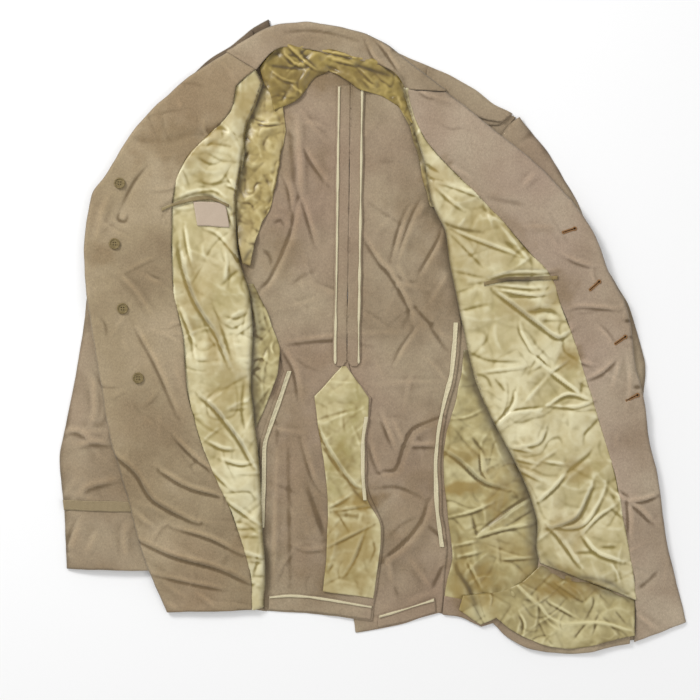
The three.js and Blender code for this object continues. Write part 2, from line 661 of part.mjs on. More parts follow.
function addSideTapes() {
  const inset = 1;
  const right = stripBeside(BACK_RIGHT, "outer", inset, inset + TAPE_WIDTH, 8, 12);
  addPanel("tape_side_right", laidOn(right, ["back_right"], REACH.narrow), TAPE, "tape");
  const left = stripBeside(BACK_LEFT, "outer", -inset - TAPE_WIDTH, -inset, 6, 13);
  addPanel("tape_side_left", laidOn(left, ["back_left"], REACH.narrow), TAPE, "tape");
}

function addVent() {
  const lining = gridFrom(VENT_LINING, ["left", "right"], [3], 1);
  addPanel("vent_lining", laidOn(lining, ["back_right", "back_left"], REACH.wide), SATIN, "satin");
  const tape = stripBeside(VENT_LINING, "right", -TAPE_WIDTH, 0, 2, 5);
  addPanel("tape_vent", laidOn(tape, ["vent_lining"], REACH.narrow), TAPE, "tape");
}

function addHems() {
  const sides = [
    { name: "right", table: HEM_RIGHT },
    { name: "left", table: HEM_LEFT },
  ];
  for (const { name, table } of sides) {
    const hem = gridFrom(table, ["upper", "lower"], [1], 2);
    addPanel(`hem_${name}`, laidOn(hem, [`back_${name}`, "back_right"], REACH.hem), KHAKI, "khaki");
    const bound = table.map(({ upper: [x, y] }) => ({ near: [x, y, 0], far: [x, y - TAPE_WIDTH, 0] }));
    const tape = gridFrom(bound, ["near", "far"], [1], 2);
    addPanel(`tape_hem_${name}`, laidOn(tape, [`hem_${name}`], REACH.tape), TAPE, "tape");
  }
}

function addBackLinings() {
  const right = gridFrom(ARMHOLE_RIGHT, ["outer", "free"], [2], 1);
  addPanel("lining_armhole_right", laidOn(right, ["back_right"], REACH.wide), SATIN, "yokeSatin");
  const left = gridFrom(ARMHOLE_LEFT, ["free", "outer"], [2], 1);
  addPanel("lining_armhole_left", laidOn(left, ["back_left"], REACH.wide), SATIN, "yokeSatin");
  const sideRight = gridFrom(LINING_SIDE_RIGHT, ["hidden", "free"], [2], 1);
  const underRight = ["side_body_right", "back_right"];
  addPanel("lining_side_right", laidOn(sideRight, underRight, REACH.strip), SATIN, "satin");
  const sideLeft = gridFrom(LINING_SIDE_LEFT, ["left", "right"], [3], 1);
  addPanel("lining_side_left", laidOn(sideLeft, ["side_body_left"], REACH.strip), SATIN, "satin");
}

// ---------- neck and shoulders ----------

function addShoulders() {
  const sides = [
    { name: "right", table: SHOULDER_RIGHT },
    { name: "left", table: SHOULDER_LEFT },
  ];
  for (const { name, table } of sides) {
    const grid = gridFrom(table, ["rim", "hidden"], [4], 1);
    addPanel(`shoulder_${name}`, grid, KHAKI, "khaki");
    const strap = raised(columnsOf(grid.slice(1), 0, 3), KHAKI + GAP);
    addPanel(`strap_${name}`, drawnIn(strap, "first", 2), DOUBLE, "khakiShade");
  }
}

function addCollar() {
  const stand = gridFrom(COLLAR, ["roll", "neck"], [2], 1);
  addPanel("collar_stand", stand, KHAKI, "khaki");
  const leaf = drawnIn(stand, "last", 3);
  addPanel("collar_leaf", raised(leaf, -DOUBLE - CLEAR), DOUBLE, "khaki");
  const yoke = drawnIn(gridFrom(YOKE, ["upper", "lower"], [3], 1), "first", SEAM);
  addPanel("lining_yoke", yoke, SATIN, "yokeSatin");
}

// ---------- sleeves ----------

function addSleeve(side, table) {
  const openness = table.map((row) => row.open);
  const flat = gridFrom(table, ["outer", "inner"], [1], 1);
  const under = flat.map(([outer, inner]) => SLEEVE_ACROSS.map((at) => outer.clone().lerp(inner, at)));
  const upper = copyGrid(under);
  upper.forEach((row, at) => {
    row.forEach((point, column) => {
      const round = SLEEVE_ACROSS[column] * (1 - 0.4 * openness[at]);
      point.z = KHAKI + GAP + SLEEVE_RISE * Math.sqrt(Math.sin(Math.PI * round) + 1e-9);
    });
  });
  addPanel(`undersleeve_${side}`, under, KHAKI, "khaki");
  addPanel(`topsleeve_${side}`, upper, KHAKI, "khaki");
  addBraid(side, upper);
}

// The points across a sleeve at a distance above its cuff.
function acrossSleeve(grid, distance) {
  const rows = [...grid].reverse();
  let left = distance;
  let at = 0;
  while (left > rows[at][0].distanceTo(rows[at + 1][0])) {
    left -= rows[at][0].distanceTo(rows[at + 1][0]);
    at += 1;
  }
  const share = left / rows[at][0].distanceTo(rows[at + 1][0]);
  return rows[at].map((point, column) => point.clone().lerp(rows[at + 1][column], share));
}

function addBraid(side, upper) {
  const grid = [1, 0].map((step) => acrossSleeve(upper, BRAID_ABOVE_CUFF + BRAID_WIDTH * step));
  addPanel(`cuff_braid_${side}`, laidOn(grid, [`topsleeve_${side}`], REACH.onTape), TAPE, "braid");
}

// ---------- fronts, with the facing and lining made from the same points ----------

function buttonholeCutter() {
  const tall = 40;
  let cutter = null;
  for (const { x, y, turn } of BUTTONHOLES) {
    const angle = THREE.MathUtils.degToRad(turn);
    const slit = new THREE.BoxGeometry(BUTTONHOLE.length, BUTTONHOLE.width, tall);
    slit.rotateZ(angle);
    slit.translate(x, y, 0);
    const eye = new THREE.CylinderGeometry(BUTTONHOLE.eye, BUTTONHOLE.eye, tall, 10);
    eye.rotateX(Math.PI / 2);
    const out = BUTTONHOLE.length / 2;
    eye.translate(x + out * Math.cos(angle), y + out * Math.sin(angle), 0);
    const hole = solidOf(slit).add(solidOf(eye));
    cutter = cutter ? cutter.add(hole) : hole;
  }
  return cutter;
}

const FRONT_ACROSS = [3, 3]; // edge to seam, seam to fold

function addFront(side, table, folds, liningTable, cut) {
  const plain = gridFrom(table, ["edge", "seam", "fold"], FRONT_ACROSS);
  const grid = folded(plain, folds);
  const seam = FRONT_ACROSS[0];
  const onTop = raised(grid, KHAKI + GAP);
  const facing = drawnIn(columnsOf(onTop, 0, seam), "last", SEAM / 2);
  const liningPlain = folded(gridFrom(liningTable, ["seam", "fold"], [FRONT_ACROSS[1]]), folds);
  const lining = drawnIn(raised(liningPlain, KHAKI + GAP), "first", SEAM);
  addPanel(`front_${side}`, grid, KHAKI, "khaki", cut);
  addPanel(`facing_${side}`, facing, KHAKI, "khaki", cut);
  addPanel(`lining_front_${side}`, lining, SATIN, "satin");
}

function addLowerLining() {
  const hem = gridFrom(HEM_FRONT_LEFT, ["upper", "lower"], [1], 1);
  const shell = ["front_left", "side_body_left", "lining_side_left"];
  addPanel("hem_front_left", raised(laidOn(hem, shell, REACH.wide), CLEAR), KHAKI, "khaki");
  const lining = gridFrom(LINING_LOWER_LEFT, ["upper", "lower"], [2], 1);
  const under = [...shell, "hem_front_left"];
  addPanel("lining_lower_left", raised(laidOn(lining, under, REACH.lower), CLEAR), SATIN, "satin");
}

// The lapel is turned under the front's rolled edge; reach is how much of the way to the seam it goes.
function addLapel(side, table, reaches) {
  const rows = reaches.map((reach, at) => {
    const edge = new THREE.Vector3(...table[at].edge);
    const seam = new THREE.Vector3(...table[at].seam);
    return { edge: edge.toArray(), inner: edge.lerp(seam, reach).toArray() };
  });
  const grid = gridFrom(rows, ["edge", "inner"], [3]);
  addPanel(`lapel_${side}`, raised(grid, -DOUBLE - CLEAR), DOUBLE, "khaki");
}

// ---------- pockets, label and buttons ----------

function addPocketsAndLabel() {
  const under = {
    right: ["facing_right", "lining_front_right"],
    left: ["lining_front_left", "facing_left"],
  };
  const label = gridFrom(LABEL, ["left", "right"], [3], 1);
  addPanel("label", laidOn(label, under.right, REACH.hem), TAPE, "label");
  under.right.push("label");
  for (const side of ["right", "left"]) {
    const rows = POCKET_MOUTHS[side].map(([x, y]) => ({ upper: [x, y, 0], lower: [x, y - JET_WIDTH, 0] }));
    const grid = gridFrom(rows, ["upper", "lower"], [1], 1);
    addPanel(`pocket_jet_${side}`, laidOn(grid, under[side], REACH.wide), SATIN, "satin");
  }
}

// A turned disc with a rolled rim and four holes.
function stayButtonGeometry() {
  const { radius, height, hole, pitch } = STAY_BUTTON;
  const rim = 1.6;
  const dish = 0.9;
  const bevel = 0.7;
  const outline = [
    [0, 0],
    [radius - bevel, 0],
    [radius, bevel],
    [radius, height - bevel],
    [radius - bevel, height],
    [radius - rim, height],
    [radius - rim - dish, height - dish],
    [0, height - dish],
  ];
  const disc = new THREE.LatheGeometry(outline.map(([x, y]) => new THREE.Vector2(x, y)), 28);
  disc.rotateX(Math.PI / 2);
  let solid = solidOf(finish(mergeVertices(disc, 1e-4)));
  for (const [signX, signY] of [[1, 1], [1, -1], [-1, 1], [-1, -1]]) {
    const drill = new THREE.CylinderGeometry(hole, hole, height * 3, 8);
    drill.rotateX(Math.PI / 2);
    drill.translate(signX * pitch, signY * pitch, 0);
    solid = solid.subtract(solidOf(drill));
  }
  return geometryOf(solid);
}

function outerButtonGeometry() {
  const { radius, height } = OUTER_BUTTON;
  const rim = 1.2;
  const outline = [
    [0, 0],
    [radius * 0.55, height * 0.12],
    [radius * 0.85, height * 0.4],
    [radius, height - rim],
    [radius, height],
    [0, height],
  ];
  const dome = new THREE.LatheGeometry(outline.map(([x, y]) => new THREE.Vector2(x, y)), 24);
  dome.rotateX(Math.PI / 2);
  return geometryOf(solidOf(finish(mergeVertices(dome, 1e-4))));
}

// The lowest underside of a panel within a radius of a point.
function undersideNear(name, x, y, radius) {
  const panel = panels[name];
  let lowest = Infinity;
  for (let turn = 0; turn < 12; turn += 1) {
    const angle = (turn * Math.PI) / 6;
    const top = topAt(panel, x + radius * Math.cos(angle), y + radius * Math.sin(angle));
    lowest = Math.min(lowest, (top ?? Infinity) - panel.thickness);
  }
  return lowest;
}

function addButtons() {
  STAY_BUTTONS.forEach(({ x, y }, at) => {
    const stay = addMesh(`stay_button_${at + 1}`, stayButtonGeometry(), "button", 0.45);
    stay.position.set(x, y, restingHeight(["facing_right"], x, y, STAY_BUTTON.radius) + GAP);
    const outer = addMesh(`outer_button_${at + 1}`, outerButtonGeometry(), "button", 0.45);
    const under = undersideNear("front_right", x, y, OUTER_BUTTON.radius);
    outer.position.set(x, y, under - GAP - OUTER_BUTTON.height);
  });
}

// ---------- the jacket ----------

addBacks();
addCenterSeam();
addSideTapes();
addVent();
addHems();
addBackLinings();
addShoulders();
addCollar();
addSleeve("right", SLEEVE_RIGHT);
addSleeve("left", SLEEVE_LEFT);

const cutter = buttonholeCutter();
addFront("right", FRONT_RIGHT, FOLDS_RIGHT, FRONT_RIGHT);
const liningLeft = [...FRONT_LEFT.slice(0, -3), ...LINING_FOLD_LEFT];
addFront("left", FRONT_LEFT, FOLDS_LEFT, liningLeft, (geometry) => {
  return geometryOf(solidOf(geometry).subtract(cutter));
});
addLowerLining();
addLapel("right", FRONT_RIGHT, [0.9, 0.9, 0.75, 0.5, 0.15]);
addLapel("left", FRONT_LEFT, [0.9, 0.9, 0.8, 0.5, 0.15]);

addPocketsAndLabel();
addButtons();

// The tables were drawn about a point a little off the middle of the jacket's box.
const MIDDLE = [-0.5, 0.5];
jacket.position.set(-MIDDLE[0], -MIDDLE[1], 0);

export default jacket;
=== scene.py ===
"""An officer jacket laid open on its back: the cloth, trim, light and camera round the CAD frame."""

import math

import bpy
import numpy as np
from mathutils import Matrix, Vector
from mathutils.bvhtree import BVHTree
from mathutils.geometry import delaunay_2d_cdt


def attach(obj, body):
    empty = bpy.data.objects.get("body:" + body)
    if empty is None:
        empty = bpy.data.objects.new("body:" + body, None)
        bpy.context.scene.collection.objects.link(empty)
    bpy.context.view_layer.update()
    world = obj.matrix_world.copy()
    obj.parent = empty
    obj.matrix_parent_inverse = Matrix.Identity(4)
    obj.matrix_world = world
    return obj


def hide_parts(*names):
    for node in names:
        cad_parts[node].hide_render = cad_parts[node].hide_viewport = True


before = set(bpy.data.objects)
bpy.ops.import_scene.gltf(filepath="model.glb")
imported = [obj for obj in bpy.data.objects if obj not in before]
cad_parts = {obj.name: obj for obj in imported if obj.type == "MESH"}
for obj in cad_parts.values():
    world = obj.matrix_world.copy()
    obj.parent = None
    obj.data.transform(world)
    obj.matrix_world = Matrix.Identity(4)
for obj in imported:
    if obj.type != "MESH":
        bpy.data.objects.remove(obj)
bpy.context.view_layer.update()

MM = 0.001  # tables and cloth are worked out in millimetres and written in metres

# ---------- sizes, in millimetres ----------

TWILL = 1.1
SATIN = 0.7
BINDING = 0.8
TURNED = 2.2  # two layers of twill turned in one
LIFT = 0.35  # between a piece and what it lies on
EDGE_ROLL = (1.3, 0.4)  # how far in from an edge the cloth turns down, and by how much
NO_ROLL = (1.0, 0.0)
DIP_BESIDE = 2.0  # how far a piece is pressed down beside the edge of one that lies on it
BESIDE_STEP = 3.0  # between the points of that edge
CORE_DIP = 0.5  # how far a binding's middle lies below its bright edges
FORM_BLUR = 11.0  # how far the CAD solids' facets are smoothed away
FORM_CELL = 5.0
OVERHEAD = 500.0  # higher than the whole jacket
SAME_POINT = 1e-5

# ---------- shares and counts ----------

COARSE = 1.0  # every mesh spacing is multiplied by this
JOINED = 100  # CAD vertices are rounded to this many steps a millimetre, so that touching ones join
FACES_UP = 0.35  # the least upward share of an upper face's normal
CORNER = math.radians(34)  # a rim keeps a corner that turns by more than this
SOFTNESS = 120.0  # rounds of smoothing between a rim's corners, at a spacing of 1 mm
ROW_STEP = 0.866  # from one row of even triangles to the next, for a spacing of 1
RIM_ROOM = 0.6  # how far inner points stay from a rim, for a spacing of 1
AT_ONCE = 2000  # points that are compared with a rim in one go
PATH_STEPS = 14  # between two points of a hand-placed line
# painted shade on a free edge that turns down: how much for each millimetre, and at most
ROLL_SHADE_GAIN = 0.12  # for each millimetre that a free edge turns down
ROLL_SHADE_MOST = 0.75
HOLLOW_ROUNDS = 6
HOLLOW_GAIN = 1.4  # for each millimetre below or above what is round a point
FACING_FROM = 0.15  # the cosine from which an edge counts as facing a way
FACING_SPAN = 0.35  # how much above that it faces fully
FACING_ROUNDS = 6

# The noise that makes each thing uneven: the length of its waves, its seed and its octaves.
# A piece's own seed comes from its name.
OUTLINE_NOISE = (38, 71, 2)
CREASE_NOISE = (30, 401, 1)
BESIDE_NOISE = (26, 613, 3)
PATCH_NOISE = (22, 811, 3)
SHADE_LINE_NOISE = (18, 907, 2)

# What a strewn crease's half length, bow, width and share of the full height are drawn between.
STREWN_HALF = (9, 34)
STREWN_BOW = (-5, 5)
STREWN_WIDTH = (2.2, 5)
STREWN_SHARE = (0.3, 1)

# ---------- noise ----------


def lattice(ix, iy, seed):
    """A repeatable random number from 0 to 1 for each whole point."""
    n = (ix.astype(np.int64) * 374761393 + iy.astype(np.int64) * 668265263 + seed * 362437) & 0x7FFFFFFF
    n = ((n ^ (n >> 13)) * 1274126177) & 0x7FFFFFFF
    return ((n ^ (n >> 16)) & 0xFFFF) / 65535.0


def gradient_noise(x, y, seed):
    """Smooth noise from about -1 to 1, with a period of 1."""
    ix, iy = np.floor(x), np.floor(y)
    fx, fy = x - ix, y - iy
    u, v = (f * f * f * (f * (f * 6 - 15) + 10) for f in (fx, fy))

    def corner(dx, dy):
        angle = 2 * math.pi * lattice(ix + dx, iy + dy, seed)
        return np.cos(angle) * (fx - dx) + np.sin(angle) * (fy - dy)

    low = corner(0, 0) * (1 - u) + corner(1, 0) * u
    high = corner(0, 1) * (1 - u) + corner(1, 1) * u
    return 1.5 * (low * (1 - v) + high * v)


def waves(xy, length, seed, octaves=2):
    """Soft undulation with waves of about that length."""
    total = np.zeros(len(xy))
    for octave in range(octaves):
        size = length / 2 ** octave
        total += gradient_noise(xy[:, 0] / size, xy[:, 1] / size, seed + octave) / 2 ** octave
    return total


def facets(xy, size, seed):
    """Crumpled cloth, from about -1 to 1: flat three-sided facets about that wide, meeting in creases."""
    warp = size * 0.55
    x = (xy[:, 0] + warp * waves(xy, size * 2.1, seed + 11)) / size
    y = (xy[:, 1] + warp * waves(xy, size * 2.1, seed + 23)) / size
    skew = (x + y) * 0.366  # turns square cells into rows of even triangles
    i, j = np.floor(x + skew), np.floor(y + skew)
    fi, fj = x + skew - i, y + skew - j

    def corner(di, dj):
        return 2 * lattice(i + di, j + dj, seed) - 1

    beside = np.where(fi > fj, corner(1, 0), corner(0, 1))
    high, low = np.maximum(fi, fj), np.minimum(fi, fj)
    return corner(0, 0) * (1 - high) + beside * (high - low) + corner(1, 1) * low


def wrinkles(xy, size, width, seed):
    """Thin uneven valleys, from -1 to 0, that wander and fade in and out."""
    sway = [waves(xy, size * 1.6, seed + 5), waves(xy, size * 1.6, seed + 7)]
    line = np.abs(waves(xy + size * 0.5 * np.column_stack(sway), size, seed, 1)) * size / 2
    strength = np.clip(0.5 + 1.3 * waves(xy, size * 1.3, seed + 9), 0, 1)
    return -strength * np.exp(-line / width)


# ---------- outlines and meshes ----------


def upper_faces(node):
    """The vertices of a CAD node in millimetres, joined, and its triangles that face up."""
    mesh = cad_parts[node].data
    mesh.calc_loop_triangles()
    points = np.empty(len(mesh.vertices) * 3)
    mesh.vertices.foreach_get("co", points)
    triangles = np.empty(len(mesh.loop_triangles) * 3, dtype=int)
    mesh.loop_triangles.foreach_get("vertices", triangles)
    keys = np.round(points.reshape(-1, 3) / MM * JOINED).astype(int)
    joined, at = np.unique(keys, axis=0, return_inverse=True)
    points = joined / JOINED
    triangles = at.reshape(-1)[triangles].reshape(-1, 3)
    a, b, c = (points[triangles[:, corner]] for corner in range(3))
    normal = np.cross(b - a, c - a)
    size = np.linalg.norm(normal, axis=1)
    return points, triangles[normal[:, 2] > FACES_UP * np.maximum(size, 1e-9)]


def rim_edges(triangles):
    """The edges that only one of the triangles has."""
    edges = {(t[at], t[(at + 1) % 3]) for t in triangles.tolist() for at in range(3)}
    return sorted((a, b) for a, b in edges if (b, a) not in edges)


def rims(triangles):
    """The closed rims of a set of triangles, as lists of vertex numbers."""
    following = dict(rim_edges(triangles))
    loops = []
    while following:
        start, at = following.popitem()
        loop = [start]
        while at != start:
            loop.append(at)
            at = following.pop(at)
        loops.append(loop)
    return sorted(loops, key=len, reverse=True)


def running_length(points):
    """How far along a polyline each of its points lies."""
    return np.concatenate([[0], np.cumsum(np.linalg.norm(np.diff(points, axis=0), axis=1))])


def evenly(points, spacing, closed=False):
    """Points along a polyline at about that spacing."""
    points = np.asarray(points, dtype=float)
    if closed:
        points = np.vstack([points, points[:1]])
    run = running_length(points)
    at = np.linspace(0, run[-1], max(2, int(round(run[-1] / spacing)) + 1))
    return np.column_stack([np.interp(at, run, points[:, axis]) for axis in range(points.shape[1])])


def softened(points, rounds):
    """A polyline smoothed again and again, with its ends kept. One of four points or fewer stays."""
    smooth = points.copy()
    for _ in range(rounds if len(points) > 4 else 0):
        smooth[1:-1] = 0.25 * smooth[:-2] + 0.5 * smooth[1:-1] + 0.25 * smooth[2:]
    return smooth


def soft_outline(points, spacing, wobble):
    """A rim resampled evenly: its corners stay, and what lies between them turns smooth and uneven."""
    before = points - np.roll(points, 1, axis=0)
    after = np.roll(points, -1, axis=0) - points
    turn = np.arctan2(after[:, 1], after[:, 0]) - np.arctan2(before[:, 1], before[:, 0])
    corners = np.flatnonzero(np.abs(np.angle(np.exp(1j * turn))) > CORNER)
    if len(corners) < 2:
        corners = np.array([0, len(points) // 2])
    stretches = []
    for start, end in zip(corners, np.roll(corners, -1)):
        count = (end - start) % len(points)
        even = evenly(points[(start + np.arange(count + 1)) % len(points)], spacing)
        stretches.append(softened(even, int(SOFTNESS / spacing ** 2))[:-1])
    rim = np.vstack(stretches)
    return rim + outward(rim) * (wobble * waves(rim, *OUTLINE_NOISE))[:, None]


def outward(rim):
    """The outward unit normals of a rim that runs counterclockwise."""
    along = np.roll(rim, -1, axis=0) - np.roll(rim, 1, axis=0)
    along /= np.maximum(np.linalg.norm(along, axis=1, keepdims=True), 1e-9)
    return np.column_stack([along[:, 1], -along[:, 0]])


def inside(points, loops):
    """Which points lie inside an outline with holes."""
    hit = np.zeros(len(points), dtype=bool)
    for loop in loops:
        for (x0, y0), (x1, y1) in zip(loop, np.roll(loop, -1, axis=0)):
            if y0 == y1:
                continue
            crosses = (y0 > points[:, 1]) != (y1 > points[:, 1])
            x = x0 + (points[:, 1] - y0) * (x1 - x0) / (y1 - y0)
            hit ^= crosses & (points[:, 0] < x)
    return hit


def nearest(points, rim):
    """The distance from each point to a rim's points, and which of them is nearest."""
    distance = np.empty(len(points))
    which = np.empty(len(points), dtype=int)
    for start in range(0, len(points), AT_ONCE):
        block = points[start:start + AT_ONCE]
        gap = np.hypot(block[:, None, 0] - rim[None, :, 0], block[:, None, 1] - rim[None, :, 1])
        which[start:start + AT_ONCE] = gap.argmin(axis=1)
        distance[start:start + AT_ONCE] = gap.min(axis=1)
    return distance, which


def filled(loops, spacing):
    """A mesh of near-even triangles inside an outline: points and triangles."""
    low, high = loops[0].min(axis=0), loops[0].max(axis=0)
    rows = np.arange(low[1], high[1], spacing * ROW_STEP)
    columns = np.arange(low[0], high[0] + spacing, spacing)
    x = columns[None, :] + (np.arange(len(rows)) % 2)[:, None] * spacing / 2
    grid = np.column_stack([x.ravel(), np.repeat(rows, len(columns))])
    grid = grid[inside(grid, loops)]
    edges = []
    start = 0
    for loop in loops:
        grid = grid[nearest(grid, loop)[0] > spacing * RIM_ROOM]
        count = len(loop)
        edges += [(start + at, start + (at + 1) % count) for at in range(count)]
        start += count
    points = np.vstack(loops + [grid])
    found = delaunay_2d_cdt([Vector(p) for p in points], edges, [], 0, SAME_POINT)
    points = np.array([tuple(p) for p in found[0]])
    triangles = np.array(found[2])
    triangles = triangles[inside(points[triangles].mean(axis=1), loops)]
    a, b, c = (points[triangles[:, corner]] for corner in range(3))
    area = (b[:, 0] - a[:, 0]) * (c[:, 1] - a[:, 1]) - (b[:, 1] - a[:, 1]) * (c[:, 0] - a[:, 0])
    triangles[area < 0] = triangles[area < 0][:, ::-1]
    used, at = np.unique(triangles, return_inverse=True)
    return points[used], at.reshape(-1, 3)


def neighbour_mean(values, triangles, rounds):
    """Values averaged over their neighbours in a mesh, again and again."""
    a = np.concatenate([triangles[:, 0], triangles[:, 1], triangles[:, 2]])
    b = np.concatenate([triangles[:, 1], triangles[:, 2], triangles[:, 0]])
    first, second = np.concatenate([a, b]), np.concatenate([b, a])
    count = np.maximum(np.bincount(first, minlength=len(values)), 1)
    for _ in range(rounds):
        values = 0.5 * values + 0.5 * np.bincount(first, values[second], len(values)) / count
    return values


# ---------- heights ----------


def tree_of(points, triangles):
    """A surface that rays can be dropped onto."""
    return BVHTree.FromPolygons([Vector(p) for p in points], triangles.tolist())


def drop_onto(tree, xy, missing):
    """The height of a surface under each point, or the missing value where there is none."""
    down = Vector((0, 0, -1))
    heights = np.empty(len(xy))
    for at, (x, y) in enumerate(xy):
        hit = tree.ray_cast(Vector((x, y, OVERHEAD)), down)
        heights[at] = missing if hit[0] is None else hit[0].z
    return heights


def cad_height(node, xy):
    """The CAD node's upper face under each point, with its facets smoothed away."""
    points, triangles = upper_faces(node)
    low = points[:, :2].min(axis=0) - 3 * FORM_CELL
    high = points[:, :2].max(axis=0) + 3 * FORM_CELL
    xs, ys = (np.arange(low[axis], high[axis] + FORM_CELL, FORM_CELL) for axis in (0, 1))
    gx, gy = np.meshgrid(xs, ys)
    cells = np.column_stack([gx.ravel(), gy.ravel()])
    found = drop_onto(tree_of(points, triangles), cells, np.nan).reshape(gx.shape)
    weight = np.isfinite(found).astype(float)
    value = np.where(weight > 0, found, 0.0)
    for _ in range(int((FORM_BLUR / FORM_CELL) ** 2 * 2)):
        for axis in (0, 1):
            value = 0.5 * value + 0.25 * (np.roll(value, 1, axis) + np.roll(value, -1, axis))
            weight = 0.5 * weight + 0.25 * (np.roll(weight, 1, axis) + np.roll(weight, -1, axis))
    smooth = value / np.maximum(weight, 1e-9)
    fx = np.clip((xy[:, 0] - xs[0]) / FORM_CELL, 0, len(xs) - 1.001)
    fy = np.clip((xy[:, 1] - ys[0]) / FORM_CELL, 0, len(ys) - 1.001)
    ix, iy = fx.astype(int), fy.astype(int)
    tx, ty = fx - ix, fy - iy
    lower = smooth[iy, ix] * (1 - tx) + smooth[iy, ix + 1] * tx
    upper = smooth[iy + 1, ix] * (1 - tx) + smooth[iy + 1, ix + 1] * tx
    return lower * (1 - ty) + upper * ty


def smooth_path(points):
    """A Catmull-Rom line through given points."""
    p = np.asarray(points, dtype=float)
    p = np.vstack([2 * p[0] - p[1], p, 2 * p[-1] - p[-2]])
    line = []
    for at in range(1, len(p) - 2):
        a, b, c, d = p[at - 1:at + 3]
        for t in np.linspace(0, 1, PATH_STEPS, endpoint=False):
            line.append(0.5 * (2 * b + (c - a) * t + (2 * a - 5 * b + 4 * c - d) * t ** 2
                               + (3 * b - a - 3 * c + d) * t ** 3))
    return np.vstack(line + [p[-2]])


def along_path(xy, path):
    """Each point's distance from a path, signed by side (left is positive), and its share along it."""
    best = np.full(len(xy), 1e9)
    side = np.ones(len(xy))
    share = np.zeros(len(xy))
    run = running_length(path)
    lengths = np.linalg.norm(np.diff(path, axis=0), axis=1)
    for at, length in enumerate(lengths):
        step = path[at + 1] - path[at]
        rel = xy - path[at]
        t = np.clip((rel @ step) / max(length ** 2, 1e-9), 0, 1)
        gap = np.hypot(rel[:, 0] - t * step[0], rel[:, 1] - t * step[1])
        closer = gap < best
        best = np.where(closer, gap, best)
        side = np.where(closer, np.sign(step[0] * rel[:, 1] - step[1] * rel[:, 0] + 1e-12), side)
        share = np.where(closer, (run[at] + t * length) / run[-1], share)
    return best, side, share


def near_path(xy, points, reach):
    """A smooth path through given points, and which of xy lie within its reach."""
    path = smooth_path(points)
    low, high = path.min(axis=0) - reach, path.max(axis=0) + reach
    return path, np.flatnonzero(np.all((xy > low) & (xy < high), axis=1))


def faded(share, least):
    """How strong a line is along its length: full in the middle, weak at its ends."""
    return np.sin(np.pi * np.clip(share, least, 1 - least)) ** 0.5


def soil(xy):
    """How far stains and painted shade darken the cloth at each point, from 0 to 1."""
    darkened = np.zeros(len(xy))
    ragged = 1 + 0.45 * waves(xy, *PATCH_NOISE)
    for x, y, across, up, strength in STAINS_AND_SHADE:
        away = np.hypot((xy[:, 0] - x) / across, (xy[:, 1] - y) / up)
        darkened = np.maximum(darkened, strength * np.clip(1.5 * ragged - away, 0, 1))
    return darkened


def grime_lines(xy):
    """How dark the lines of painted deep shade make each point, from 0 to 1."""
    dark = np.zeros(len(xy))
    for width, strength, *points in PAINTED_SHADE_LINES:
        path, near = near_path(xy, points, width * 4)
        if len(near):
            gap, _, share = along_path(xy[near], path)
            uneven = 0.8 + 0.4 * waves(xy[near], *SHADE_LINE_NOISE)
            line = strength * faded(share, 0.02) * uneven * np.exp(-(gap / width) ** 1.4)
            dark[near] = np.maximum(dark[near], line)
    return np.clip(dark, 0, 1)


def crease_form(kind, signed):
    """The height across a crease of height 1, at a distance counted in its widths (left is positive)."""
    u = np.abs(signed)
    if kind == "fold":
        gentle = np.exp(-u / 2.2)
        steep = np.exp(-2.6 * u) - 0.35 * np.exp(-((u - 0.9) / 0.5) ** 2)
        return np.where(signed > 0, gentle, steep)
    if kind == "valley":
        return -np.exp(-0.8 * u)
    if kind == "ridge":
        return np.exp(-u)
    bump = np.exp(-u ** 2)
    return bump if kind == "swell" else -bump


def crease_lift(xy, kind, width, height, *points):
    """The height that one crease adds at each point."""
    path, near = near_path(xy, points, width * 4.5)
    lift = np.zeros(len(xy))
    if len(near):
        gap, side, share = along_path(xy[near], path)
        uneven = 0.8 + 0.35 * waves(xy[near], *CREASE_NOISE)
        across = gap * side * CREASE_SHARPNESS / width
        lift[near] = CREASE_GAIN * height * faded(share, 0.03) * uneven * crease_form(kind, across)
    return lift


def small_creases(xy, count, height, seed):
    """Short slight creases strewn over a piece, each at its own place, turn, length and depth."""
    low, high = xy.min(axis=0), xy.max(axis=0)
    chance = np.random.default_rng(seed)
    lift = np.zeros(len(xy))
    for _ in range(count):
        middle = low + (high - low) * chance.random(2)
        turn = chance.uniform(0, math.pi)
        reach = chance.uniform(*STREWN_HALF) * np.array([math.cos(turn), math.sin(turn)])
        bow = chance.uniform(*STREWN_BOW) * np.array([-math.sin(turn), math.cos(turn)])
        kind = ("fold", "ridge", "valley")[chance.integers(3)]
        width = chance.uniform(*STREWN_WIDTH)
        share = chance.uniform(*STREWN_SHARE)
        lift += crease_lift(xy, kind, width, height * share, middle - reach, middle + bow, middle + reach)
    return lift


# ---------- creases, in millimetres -------------------------
# Each row is a crease: its kind, width and height, then the points that it runs through.
# A fold leans over to its right. A valley and a dip go down, a ridge and a swell go up. A valley and a
# ridge are sharp, a dip and a swell are round.

CREASE_GAIN = 1.1  # each height in the rows is multiplied by this
CREASE_SHARPNESS = 1.5  # each width in the rows is divided by this

